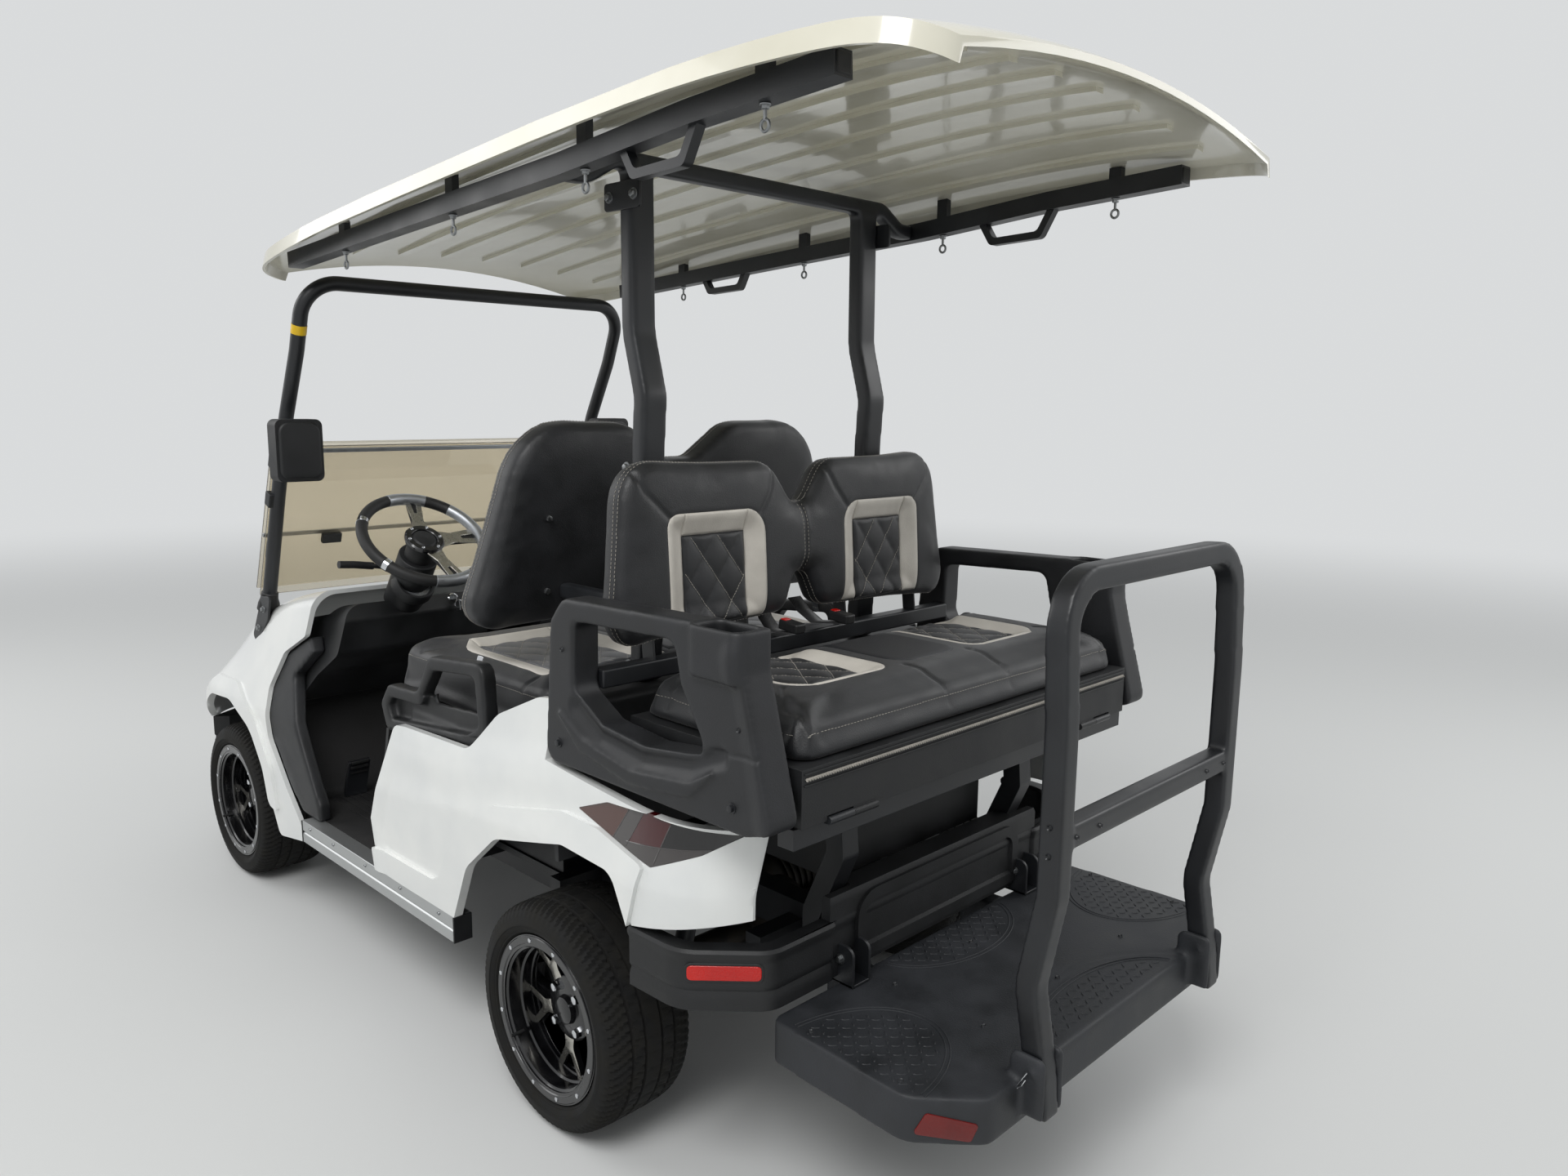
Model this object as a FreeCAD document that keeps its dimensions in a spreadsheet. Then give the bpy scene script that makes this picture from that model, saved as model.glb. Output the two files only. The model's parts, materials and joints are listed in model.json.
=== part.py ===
import FreeCAD, Part
import Sketcher
import math
import os
import re
from FreeCAD import Placement, Rotation, Vector

# Four-seat golf cart with a folded windshield and a flip-over rear seat.
# Millimetres. +X forward, +Y left, +Z up. The origin is on the ground under the middle of the
# cart. Stations are measured from an axle: rx() from the rear one, fx() from the front one.

# Driving sizes: alias, value, meaning
SIZES = [
    ("rear_axle_x", -570, "rear axle, from the middle of the cart"),
    ("wheelbase", 1676, "axle to axle"),
    ("front_reach", 404, "front axle to the bumper's nose"),
    ("rear_reach", 940, "rear axle to the back of the grab bar"),
    ("body_half", 600, "half width over the body sides"),
    ("skin", 12, "thickness of the body panels"),
    ("flare", 9, "raised band round a wheel arch"),
    ("seam", 0.4, "joint between pieces that seat on each other"),
    ("tyre_radius", 230, "12 inch wheel, 18 inch tyre"),
    ("tyre_width", 206, "tyre section width"),
    ("bead_radius", 152, "where the tyre sits on the rim"),
    ("flange_radius", 168, "outer edge of the rim"),
    ("rim_width", 186, "rim over both flanges"),
    ("hub_setback", 70, "spoke face behind the outer flange"),
    ("spokes", 5, "split spokes of the rim"),
    ("bore_radius", 31, "centre bore of the rim"),
    ("rear_wheel_y", 514, "rear wheel centre plane"),
    ("front_wheel_y", 491, "front wheel centre plane"),
    ("kingpin_y", 392, "kingpin axis"),
    ("floor_z", 318, "top of the floor"),
    ("floor_thick", 16, "floor pan"),
    ("sill_low", 258, "bottom of the sill"),
    ("rail_wide", 50, "chassis rail"),
    ("rail_tall", 70, "chassis rail"),
    ("rail_y", 215, "chassis rail centre"),
    ("seat_half", 505, "half width of the cushions"),
    ("seat_deck_z", 724, "middle of the sheet under the front cushion"),
    ("front_pad", 125, "front cushion height"),
    ("rear_deck_z", 765, "underside of the rear cargo deck"),
    ("deck_tall", 98, "height of the cargo deck tray"),
    ("rear_pad", 80, "rear cushion height"),
    ("deck_rear", 600, "hinge edge of the deck behind the rear axle"),
    ("deck_front", 165, "front edge of the deck behind the rear axle"),
    ("deck_wall", 14, "wall of the cargo deck tray"),
    ("deck_lip", 8, "cargo deck past the rear cushion"),
    ("arm_clear", 15, "between the cargo deck and the side panels, which it swings past"),
    ("arm_wide", 60, "side panel and armrest"),
    ("cup_wide", 58, "cup holder in the armrest"),
    ("hip_clear", 23, "between the front cushion and the hip restraint"),
    ("hip_wide", 35, "hip restraint"),
    ("hinge_radius", 7, "hinge barrel of the cargo deck"),
    ("post_y", 333, "roof post centre"),
    ("post_wide", 60, "roof post"),
    ("post_deep", 40, "roof post"),
    ("roof_rail_y", 518, "roof side rail centre"),
    ("roof_tube", 38, "roof rail, square tube"),
    ("hoop_radius", 19, "front hoop, round tube"),
    ("hoop_inset", 15, "front hoop leg centre inside the windshield's edge"),
    ("roof_half", 585, "half width of the roof"),
    ("roof_crown", 85, "roof crown above its lip"),
    ("roof_skin", 12, "roof thickness"),
    ("rib_tall", 8, "ribs under the roof"),
    ("rib_wide", 24, "ribs under the roof"),
    ("grab_tube", 40, "grab bar, square tube"),
    ("grab_y", 290, "grab bar leg centre"),
    ("foot_top", 389, "top of the footplate"),
    ("foot_thick", 80, "footplate edge"),
    ("foot_half", 478, "half width of the footplate"),
    ("leg_y", 283, "rear seat leg centre"),
    ("leg_tube", 42, "rear seat leg, square tube"),
    ("glass_thick", 6, "windshield sheet"),
    ("glass_half", 515, "half width of the windshield"),
    ("steer_y", 300, "steering wheel centre, left of the middle"),
    ("steer_tilt", 53, "steering axis above level, degrees"),
    ("steer_ring", 160, "steering wheel ring radius at the grip's centre"),
    ("grip_radius", 15, "steering wheel grip"),
    ("column_radius", 28, "steering column"),
    ("axle_radius", 32, "rear axle tube"),
    ("housing_radius", 92, "differential housing"),
    ("motor_radius", 88, "drive motor"),
    ("motor_long", 200, "drive motor"),
    ("battery_long", 310, "battery block"),
    ("battery_half", 300, "battery block"),
    ("battery_tall", 300, "battery block"),
    ("battery_low", 320, "underside of the battery block"),
    ("tray_thick", 17.6, "battery tray"),
    ("spring_wide", 50, "rear leaf spring"),
    ("spring_y", 330, "rear leaf spring centre"),
]

doc = FreeCAD.newDocument("golf_cart")
sheet = doc.addObject("Spreadsheet::Sheet", "sizes")
for row, (alias, value, meaning) in enumerate(SIZES, start=1):
    sheet.set("A%d" % row, meaning)
    sheet.set("B%d" % row, str(value))
    sheet.setAlias("B%d" % row, alias)
doc.recompute()

pieces = []


def size(alias):
    return float(sheet.get(alias))


def rx(station):
    return size("rear_axle_x") + station


def fx(station):
    return size("rear_axle_x") + size("wheelbase") + station


# Rows of origin, station and the rest, each told from the axle that it keeps to, as rows from X
def placed(rows):
    return [(origin(station), *rest) for origin, station, *rest in rows]


def lifted(table, base):
    return [(x, base + z) for x, z in table]


def keep(label, obj):
    obj.Label = label
    pieces.append(obj)
    return obj


# A piece whose shape the script works out from the sheet's values
def shaped(label, shape, place=None):
    obj = doc.addObject("Part::Feature", label)
    obj.Shape = shape
    if place is not None:
        obj.Placement = place
    return keep(label, obj)


def both_sides(shape):
    return Part.makeCompound([shape, shape.mirror(Vector(0, 0, 0), Vector(0, 1, 0))])


def fused(shapes):
    return shapes[0].fuse(shapes[1:]).removeSplitter()


# Straight runs joined by tangent arcs; radii is one number or one for each corner
def rounded(points, radii, closed=True):
    count = len(points)
    if not isinstance(radii, (list, tuple)):
        radii = [radii] * count
    ends = []
    for i, corner in enumerate(points):
        before = points[i - 1]
        after = points[(i + 1) % count]
        if radii[i] <= 0 or (not closed and i in (0, count - 1)):
            ends.append((corner, None, corner))
            continue
        back = (before - corner).normalize()
        ahead = (after - corner).normalize()
        half = math.acos(max(-1, min(1, back.dot(ahead)))) / 2
        if math.pi / 2 - half < 1e-4:
            ends.append((corner, None, corner))
            continue
        reach = radii[i] / math.tan(half)
        middle = (back + ahead).normalize()
        bulge = radii[i] / math.sin(half) - radii[i]
        ends.append((corner + back * reach, corner + middle * bulge, corner + ahead * reach))
    edges = []
    for i, (start, middle, end) in enumerate(ends):
        if middle is not None:
            edges.append(Part.Arc(start, middle, end).toShape())
        if i < count - 1 or closed:
            target = ends[(i + 1) % count][0]
            if (target - end).Length > 1e-6:
                edges.append(Part.LineSegment(end, target).toShape())
    return Part.Wire(edges)


def side_view(table, origin, y):
    return [Vector(origin(x), y, z) for x, z in table]


# A plate whose outline is drawn in the side view, from y_in to y_out
def side_plate(table, origin, y_in, y_out, radii=0, shrink=0):
    face = Part.Face(rounded(side_view(table, origin, y_in), radii))
    if shrink:
        face = Part.Face(face.makeOffset2D(-shrink).Wires)
    return face.extrude(Vector(0, y_out - y_in, 0))


def plan_plate(points, z_low, z_high, radii=0):
    outline = rounded([Vector(x, y, z_low) for x, y in points], radii)
    return Part.Face(outline).extrude(Vector(0, 0, z_high - z_low))


def block(x_low, x_high, y_low, y_high, z_low, z_high):
    return Part.makeBox(x_high - x_low, y_high - y_low, z_high - z_low, Vector(x_low, y_low, z_low))


# A bar of constant thickness along a line drawn in the side view
def ribbon(table, origin, thick, y_in, y_out, bend):
    points = [Vector(origin(x), 0, z) for x, z in table]
    left = []
    right = []
    for i, point in enumerate(points):
        ahead = (points[min(i + 1, len(points) - 1)] - point)
        back = (point - points[max(i - 1, 0)])
        if ahead.Length < 1e-9:
            ahead = back
        if back.Length < 1e-9:
            back = ahead
        ahead.normalize()
        back.normalize()
        normal = Vector(-ahead.z - back.z, 0, ahead.x + back.x).normalize()
        reach = thick / 2 / normal.dot(Vector(-ahead.z, 0, ahead.x))
        left.append(point + normal * reach)
        right.append(point - normal * reach)
    outline = left + right[::-1]
    radii = [0] + [bend] * (len(points) - 2) + [0]
    outline = rounded([Vector(p.x, y_in, p.z) for p in outline], radii + radii)
    return Part.Face(outline).extrude(Vector(0, y_out - y_in, 0))


def square_profile(at, along, side_u, wide, tall):
    side_v = along.cross(side_u).normalize()
    corners = [at + side_u * (wide / 2 * a) + side_v * (tall / 2 * b)
               for a, b in ((-1, -1), (1, -1), (1, 1), (-1, 1))]
    return Part.makePolygon(corners + [corners[0]])


# A tube swept along runs and tangent arcs: round when wide is None
def tube(points, bend, radius=None, wide=None, tall=None, side=Vector(0, 1, 0)):
    spine = rounded(points, bend, closed=False)
    along = (points[1] - points[0]).normalize()
    if radius is not None:
        profile = Part.Wire(Part.Circle(points[0], along, radius).toShape())
    else:
        profile = square_profile(points[0], along, side, wide, tall)
    return spine.makePipeShell([profile], True, False)


# A section across the body: low, shoulder and top are (half width, height)
def body_ring(x, low, shoulder, top, shoulder_radius, top_radius):
    right = [low, shoulder, top]
    points = [Vector(x, y, z) for y, z in right] + [Vector(x, -y, z) for y, z in right[::-1]]
    radii = [0, shoulder_radius, top_radius, top_radius, shoulder_radius, 0]
    return rounded(points, radii)


# A body through a table's sections, drawn in all round by inset; first and last shift its ends
def body_loft(table, origin, inset, first=0, last=0):
    rings = []
    half = size("body_half") - inset
    for i, (x, low_in, low_z, mid_in, mid_z, top_in, top_z) in enumerate(table):
        shift = first if i == 0 else (last if i == len(table) - 1 else 0)
        rings.append(body_ring(origin(x) + shift, (half - low_in, low_z), (half - mid_in, mid_z),
                               (half - top_in, top_z - inset), 90, 60))
    return Part.makeLoft(rings, True, False)


def cylinder(radius, start, end):
    return Part.makeCylinder(radius, (end - start).Length, start, end - start)


# Sketch of a closed polygon in one of a body's own planes. Each corner is an expression pair,
# bound to the sheet, so the sketch follows every size.
def sheet_sketch(body, role, name, corners):
    sketch = body.newObject("Sketcher::SketchObject", name)
    plane = [f for f in body.Origin.OriginFeatures if f.Role == role][0]
    sketch.AttachmentSupport = (plane, "")
    sketch.MapMode = "FlatFace"
    spots = [(worked_out(a), worked_out(b)) for a, b in corners]
    for i, (a, b) in enumerate(spots):
        c, d = spots[(i + 1) % len(spots)]
        sketch.addGeometry(Part.LineSegment(Vector(a, b, 0), Vector(c, d, 0)))
    for i in range(len(spots)):
        sketch.addConstraint(Sketcher.Constraint("Coincident", i, 2, (i + 1) % len(spots), 1))
    for i, (a, b) in enumerate(corners):
        for kind, text, spot, axis in (("DistanceX", a, spots[i][0], -2),
                                       ("DistanceY", b, spots[i][1], -1)):
            if text == "0":
                sketch.addConstraint(Sketcher.Constraint("PointOnObject", i, 1, axis))
                continue
            number = sketch.addConstraint(Sketcher.Constraint(kind, -1, 1, i, 1, spot))
            sketch.setExpression("Constraints[%d]" % number, sheet_names(text))
    return sketch


def sheet_names(text):
    names = {alias for alias, value, meaning in SIZES}
    return re.sub("[a-z][a-z_]*", lambda m: ("sizes." + m[0]) if m[0] in names else m[0], text)


def worked_out(text):
    total = 0.0
    for term in text.replace("- ", "+ -").split("+ "):
        factor = 1.0
        for part in term.strip().split(" * "):
            sign = 1.0
            if part.startswith("-"):
                sign = -1.0
                part = part[1:]
            factor *= sign * (size(part) if part[0].isalpha() else float(part))
        total += factor
    return total


# A primitive solid whose sizes and place are formulas of the sheet's names
def primitive(kind, name, sizes, spot, turn=Rotation()):
    obj = doc.addObject(kind, name)
    obj.Placement = Placement(Vector(0, 0, 0), turn)
    for prop, text in sizes.items():
        obj.setExpression(prop, sheet_names(text))
    for axis, text in zip("xyz", spot):
        obj.setExpression("Placement.Base." + axis, sheet_names(text))
    return obj


def joined(label, parts):
    obj = doc.addObject("Part::MultiFuse", label)
    obj.Shapes = parts
    obj.Refine = True
    doc.recompute()
    return keep(label, obj)


def turned_body(label, corners):
    body = doc.addObject("PartDesign::Body", label)
    sketch = sheet_sketch(body, "YZ_Plane", label + "_profile", corners)
    turn = body.newObject("PartDesign::Revolution", label + "_turn")
    turn.Profile = sketch
    turn.ReferenceAxis = (sketch, ["H_Axis"])
    turn.Angle = 360
    doc.recompute()
    return keep(label, body)


# Windows cut right through a turned body, the same all the way round
def windows_round(body, label, count, outlines):
    for number, corners in enumerate(outlines):
        name = "%s_window_%d" % (label, number)
        sketch = sheet_sketch(body, "XZ_Plane", name, corners)
        pocket = body.newObject("PartDesign::Pocket", name + "_cut")
        pocket.Profile = sketch
        pocket.Type = "ThroughAll"
        pocket.Midplane = True
        ring = body.newObject("PartDesign::PolarPattern", name + "_ring")
        ring.Originals = [pocket]
        ring.Axis = (sketch, ["N_Axis"])
        ring.Angle = 360
        ring.setExpression("Occurrences", sheet_names(count))
        body.Tip = ring
        doc.recompute()


# Wheels: one row each, name, station function, wheel plane, which side
WHEELS = [
    ("front_left", fx, "front_wheel_y", 1),
    ("front_right", fx, "front_wheel_y", -1),
    ("rear_left", rx, "rear_wheel_y", 1),
    ("rear_right", rx, "rear_wheel_y", -1),
]

# Half sections, outboard side first: distance from the wheel's centre plane, radius
TYRE_SECTION = [
    ("0.41 * rim_width", "bead_radius + 2"),
    ("0.47 * rim_width", "flange_radius + 3"),
    ("0.5 * tyre_width", "flange_radius + 18"),
    ("0.5 * tyre_width - 2", "tyre_radius - 30"),
    ("0.5 * tyre_width - 9", "tyre_radius - 12"),
    ("0.5 * tyre_width - 24", "tyre_radius - 3"),
    ("0.16 * tyre_width", "tyre_radius"),
]
RIM_SECTION = [
    ("0.5 * rim_width", "bead_radius - 8"),
    ("0.5 * rim_width", "flange_radius"),
    ("0.5 * rim_width - 7", "flange_radius"),
    ("0.5 * rim_width - 12", "bead_radius + 1"),
    ("0.22 * rim_width", "bead_radius - 2"),
]


def tyre(label):
    mirrored = [("-" + a.replace(" - ", " + "), b) for a, b in TYRE_SECTION]
    return turned_body(label, TYRE_SECTION + mirrored[::-1])


# Rim windows as shares of the bead radius, across and up from the hub: the wide one between two
# spokes, and the narrow one in a spoke's fork, a tenth of a turn further round
WIDE_WINDOW = [(-0.132, 0.395), (0.132, 0.395), (0.27, 0.862), (0, 0.905), (-0.27, 0.862)]
FORK_WINDOW = [(0.388, 0.534), (0.648, 0.611), (0.381, 0.805)]


def rim(label):
    outer = RIM_SECTION + [("-" + a.replace(" - ", " + "), b) for a, b in RIM_SECTION][::-1]
    inner = [
        ("-0.5 * rim_width + 12", "bead_radius - 12"),
        ("0.5 * rim_width - hub_setback - 22", "bead_radius - 12"),
        ("0.5 * rim_width - hub_setback - 22", "bore_radius"),
        ("0.5 * rim_width - hub_setback", "bore_radius"),
        ("0.5 * rim_width - hub_setback", "bead_radius - 14"),
    ]
    body = turned_body(label, outer[:-1] + [("-0.5 * rim_width", "bead_radius - 8")] + inner)
    shares = [[("%s * bead_radius" % a if a else "0", "%s * bead_radius" % b) for a, b in window]
              for window in (WIDE_WINDOW, FORK_WINDOW)]
    windows_round(body, label, "spokes", shares)
    return body


for name, origin, plane, side in WHEELS:
    turn = Rotation(Vector(0, 0, 1), 0 if side > 0 else 180)
    centre = Vector(origin(0), side * size(plane), size("tyre_radius"))
    rim("rim_" + name).Placement = Placement(centre, turn)
    tyre("tyre_" + name).Placement = Placement(centre, turn)

# Rear axle with its differential and the drive motor beside it
axle_z = size("tyre_radius")
hub_end = size("rear_wheel_y") + size("rim_width") / 2 - size("hub_setback") - 22
wheel_hub = hub_end - size("seam")
axle_tube = cylinder(size("axle_radius"), Vector(rx(0), -wheel_hub + 46, axle_z),
                     Vector(rx(0), wheel_hub - 46, axle_z))
brake_drums = [cylinder(95, Vector(rx(0), s * (wheel_hub - 52), axle_z),
                        Vector(rx(0), s * wheel_hub, axle_z)) for s in (-1, 1)]
housing = cylinder(size("housing_radius"), Vector(rx(0), -70, axle_z), Vector(rx(0), 70, axle_z))
motor = cylinder(size("motor_radius"), Vector(rx(120), -80 - size("motor_long"), axle_z + 24),
                 Vector(rx(120), -40, axle_z + 24))
gear_case = block(rx(-60), rx(140), -60, -10, axle_z - 70, axle_z + 80)
shaped("rear_axle", fused([axle_tube, housing, motor, gear_case] + brake_drums))


# Rear suspension on each side: leaf spring, shackle and shock absorber
def rear_suspension():
    y_in = size("spring_y") - size("spring_wide") / 2
    y_out = size("spring_y") + size("spring_wide") / 2
    seat_z = axle_z + size("axle_radius") + 14
    arch = [(-330, 330), (-200, seat_z + 10), (0, seat_z), (200, seat_z + 2), (330, 276)]
    leaf = ribbon(arch, rx, 26, y_in, y_out, 0)
    saddle = block(rx(-40), rx(40), y_in, y_out, axle_z + size("axle_radius") + size("seam"), seat_z)
    shock = cylinder(20, Vector(rx(-80), size("spring_y"), seat_z - 4), Vector(rx(-120), 300, 520))
    ears = [block(rx(x) - 20, rx(x) + 20, y_in, y_out, low, high)
            for x, low, high in ((-330, 322, 400), (330, 268, 300))]
    return fused([leaf, saddle, shock] + ears)


shaped("rear_suspension", both_sides(rear_suspension()))

# Chassis: two cranked box rails and their crossmembers
RAIL_LINE = placed([(rx, -430, 435), (rx, 160, 435), (rx, 370, 250), (fx, -376, 250), (fx, -206, 320),
                    (fx, 284, 320)])
rail = ribbon(RAIL_LINE, float, size("rail_tall"), size("rail_y") - size("rail_wide") / 2,
              size("rail_y") + size("rail_wide") / 2, 30)
crossmembers = []
for x, z in placed([(rx, -400, 435), (rx, 140, 435), (rx, 420, 250), (fx, -816, 250), (fx, -396, 250),
                    (fx, 254, 320)]):
    crossmembers.append(block(x - 25, x + 25, -size("rail_y"), size("rail_y"), z - 25, z + 25))
brackets = []
floor_low = size("floor_z") - size("floor_thick")
for x, reach, z_low, z_high in placed([(rx, 740, 585, 262, floor_low), (fx, -546, 585, 262, floor_low),
                                       (rx, 380, 320, 240, 284)]):
    brackets.append(block(x - 24, x + 24, -reach, reach, z_low, z_high - size("seam")))
for side in (-1, 1):
    rail_out = size("rail_y") + size("rail_wide") / 2 - 2
    for x_low, x_high, reach, z_low, z_high in ((-350, -310, 357, 400.4, 440), (310, 350, 357, 300.4, 340),
                                                (-450, -405, 261.6, 405, 465)):
        near, far = sorted((side * rail_out, side * reach))
        brackets.append(block(rx(x_low), rx(x_high), near, far, z_low, z_high))
    guide_y = sorted((side * (size("rail_y") - 20), side * (size("rail_y") + 20)))
    guide = block(fx(-135), fx(-85), guide_y[0], guide_y[1], 186, 300)
    bore = cylinder(9.5, Vector(fx(-110), guide_y[0] - 1, 208), Vector(fx(-110), guide_y[1] + 1, 208))
    brackets.append(guide.cut(bore))
shaped("chassis_frame", fused([rail, rail.mirror(Vector(0, 0, 0), Vector(0, 1, 0))]
                              + crossmembers + brackets))

# Floor with its toe board
floor_mid = size("floor_z") - size("floor_thick") / 2
FLOOR_LINE = placed([(rx, 712, floor_mid), (fx, -386, floor_mid), (fx, -281, floor_mid + 250)])
floor = ribbon(FLOOR_LINE, float, size("floor_thick"), -559, 559, 40)
floor = floor.cut(both_sides(block(fx(-626), fx(-176), 500, 600, size("floor_z"), 700)))
shaped("floor_pan", floor)

# Aluminium sills, a channel along each side between the wheels
SILL_SECTION = [(2, 0), (2, 24), (-2, 28), (2, 32), (2, 60), (-40, 60), (-40, 44), (-33, 44), (-33, 53),
                (-6, 53), (-6, 6), (-14, 6), (-14, 0)]
sill_points = [Vector(rx(356), size("body_half") + y, size("sill_low") + z) for y, z in SILL_SECTION]
sill = Part.Face(rounded(sill_points, 0)).extrude(Vector(fx(-526) - rx(356), 0, 0))
shaped("sill_panels", both_sides(sill))

# Rear body: columns are station, then for its low edge, shoulder and top how far in from
# body_half, and the height
REAR_BODY = [
    (770, 10, 250, 2, 520, 60, 960),
    (400, 8, 250, 0, 560, 55, 960),
    (0, 8, 250, 0, 600, 50, 960),
    (-240, 12, 250, 3, 600, 50, 940),
    (-360, 40, 250, 20, 600, 70, 900),
    (-440, 110, 250, 80, 600, 130, 880),
    (-485, 200, 250, 160, 600, 210, 860),
]
QUARTER_OUTLINE = [
    (712, 318.4), (736, 440), (629, 690), (300, 706), (200, 800), (60, 862), (14, 868), (12, 752),
    (-470, 714), (-462, 556), (-266, 516), (-222, 604), (-70, 612), (162, 556), (285, 456), (352, 318.4),
]
LAMP_OUTLINE = [(-100, 688), (-190, 722), (-300, 728), (-452, 708), (-400, 672), (-312, 636)]
rear_outer = body_loft(REAR_BODY, rx, 0)
rear_inner = body_loft(REAR_BODY, rx, size("skin"), 30, -30)
rear_shell = rear_outer.cut(rear_inner)
quarter_radii = [0, 0, 30, 60, 80, 60, 6, 0, 0, 0, 0, 40, 60, 80, 80, 0]
quarter_prism = side_plate(QUARTER_OUTLINE, rx, 300, 700, quarter_radii)
lamp_prism = side_plate(LAMP_OUTLINE, rx, 300, 700, [2, 40, 60, 2, 30, 8])
# Raised band: up the front of the wheel arch from the ledge over the sill, and back to the lamp
FLARE_OUTLINE = [
    (712, 318.4), (724, 374), (420, 380), (345, 500), (190, 618), (-66, 674), (-226, 668), (-300, 636),
    (-262, 516), (-222, 604), (-70, 612), (162, 556), (285, 456), (352, 318.4),
]
flare_radii = [0, 8, 50, 60, 90, 60, 30, 8, 0, 40, 60, 80, 80, 0]
flare = body_loft(REAR_BODY, rx, -size("flare")).cut(body_loft(REAR_BODY, rx, size("skin") / 2, 30, -30))
flare = flare.common(side_plate(FLARE_OUTLINE, rx, 300, 700, flare_radii))
quarter = rear_shell.common(quarter_prism).fuse(flare).cut(lamp_prism)
shaped("quarter_panels", both_sides(quarter))
lens_prism = side_plate(LAMP_OUTLINE, rx, 300, 700, [2, 40, 60, 2, 30, 8], size("seam"))
shaped("tail_lamps", both_sides(rear_shell.common(lens_prism)))

# Seat base: a bent sheet between the quarter panels that carries the front seat
seat_deck = size("seat_deck_z")
SEAT_BASE_LINE = [(700, size("floor_z") + size("seam")), (700, seat_deck), (110, seat_deck), (60, 860),
                  (-26, 860), (-26, 560)]
seat_base = ribbon(SEAT_BASE_LINE, rx, size("skin"), -600, 600, 20)
seat_base = seat_base.common(body_loft(REAR_BODY, rx, size("skin") + size("seam"), 30, -30))
battery_opening = block(rx(160), rx(640), -400, 400, 700, 750)
arm_in = size("seat_half") + size("deck_lip") + size("arm_clear")
arm_out = arm_in + size("arm_wide")
arm_room = both_sides(block(rx(-60), rx(11), arm_in - 8, arm_out + 22, 700, 900))
hip_slot = both_sides(block(rx(240), rx(760), size("seat_half") + size("hip_clear") - 2,
                            size("seat_half") + size("hip_clear") + size("hip_wide") + 3, 640, 740))
shaped("seat_base", seat_base.cut(battery_opening).cut(arm_room).cut(hip_slot))

# Battery block under the front seat
battery_block = primitive("Part::Box", "battery_block",
                          {"Length": "battery_long", "Width": "2 * battery_half", "Height": "battery_tall"},
                          ("rear_axle_x + 380", "-battery_half", "battery_low"))
battery_tray = primitive("Part::Box", "battery_tray",
                         {"Length": "battery_long + 4", "Width": "2 * battery_half + 10",
                          "Height": "tray_thick"},
                         ("rear_axle_x + 378", "-battery_half - 5", "battery_low - tray_thick"))
tray_feet = [primitive("Part::Box", "tray_foot_" + name, {"Length": "210", "Width": "40", "Height": "17.6"},
                       ("rear_axle_x + 430", place, "battery_low - tray_thick - 17"))
             for name, place in (("left", "rail_y - 20"), ("right", "-rail_y - 20"))]
joined("battery_pack", [battery_block, battery_tray] + tray_feet)


# Cushions: plain closed forms at their true places
def cushion(x_low, x_high, half, z_low, z_high, radius):
    pad = block(x_low, x_high, -half, half, z_low, z_high)
    corners = [e for e in pad.Edges if abs(e.tangentAt(e.FirstParameter).z) > 0.99]
    pad = pad.makeFillet(radius, corners)
    top = [e for e in pad.Edges if e.BoundBox.ZMin > z_high - 0.01]
    return pad.makeFillet(min(28, (z_high - z_low) / 3), top)


front_low = size("seat_deck_z") + size("skin") / 2 + size("seam")
shaped("front_seat_cushion", cushion(rx(130), rx(800), size("seat_half"), front_low,
                                     front_low + size("front_pad"), 70))


# Two-humped back, drawn as half an outline from its foot up to its middle: y, z
def humped_back(half_outline, radii, middle_low, x_rear, thick, lean, edge):
    points = [Vector(0, y, z) for y, z in half_outline]
    mirrored = [Vector(0, -y, z) for y, z in half_outline][::-1]
    every = points + mirrored
    back = Part.Face(rounded(every, radii + radii[::-1])).extrude(Vector(thick, 0, 0))
    back = back.makeFillet(edge, [e for e in back.Edges if e.BoundBox.XLength < 0.01])
    back.rotate(Vector(0, 0, middle_low), Vector(0, 1, 0), lean)
    back.translate(Vector(x_rear, 0, 0))
    return back


FRONT_BACK = [(40, 930), (545, 918), (566, 980), (452, 1400), (160, 1400), (40, 1318)]
front_back = humped_back(FRONT_BACK, [20, 60, 60, 150, 100, 40], 918, rx(312), 96, -5, 22)
shaped("front_seat_back", front_back)

# Hip restraints beside the front cushion: a padded loop on each side
HIP_OUTER = [(742, 716), (700, 768), (560, 775), (500, 868), (272, 890), (262, 735), (330, 690),
             (715, 652)]
HIP_INNER = [(704, 716), (688, 738), (545, 745), (484, 838), (306, 856), (296, 750), (345, 722),
             (690, 686)]
HIP_WINDOW = [(560, 752), (545, 760), (484, 838), (306, 856), (300, 770)]
hip_in = size("seat_half") + size("hip_clear")
hip_out = hip_in + size("hip_wide")
hip_loop = side_plate(HIP_OUTER, rx, hip_in, hip_out, [20, 25, 40, 30, 30, 30, 30, 25])
hip_hole = side_plate(HIP_INNER, rx, hip_in + 10, hip_out + 20, [8, 12, 25, 15, 15, 12, 15, 12])
hip_window = side_plate(HIP_WINDOW, rx, hip_in - 10, hip_out + 20, [12, 25, 15, 15, 15])
hip_foot = block(rx(420), rx(620), hip_in - 28, hip_in + 17, 700, 717.7)
hip_loop = hip_loop.cut(hip_hole).cut(hip_window)
shaped("hip_restraints", both_sides(fused([hip_loop, hip_foot])))

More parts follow.
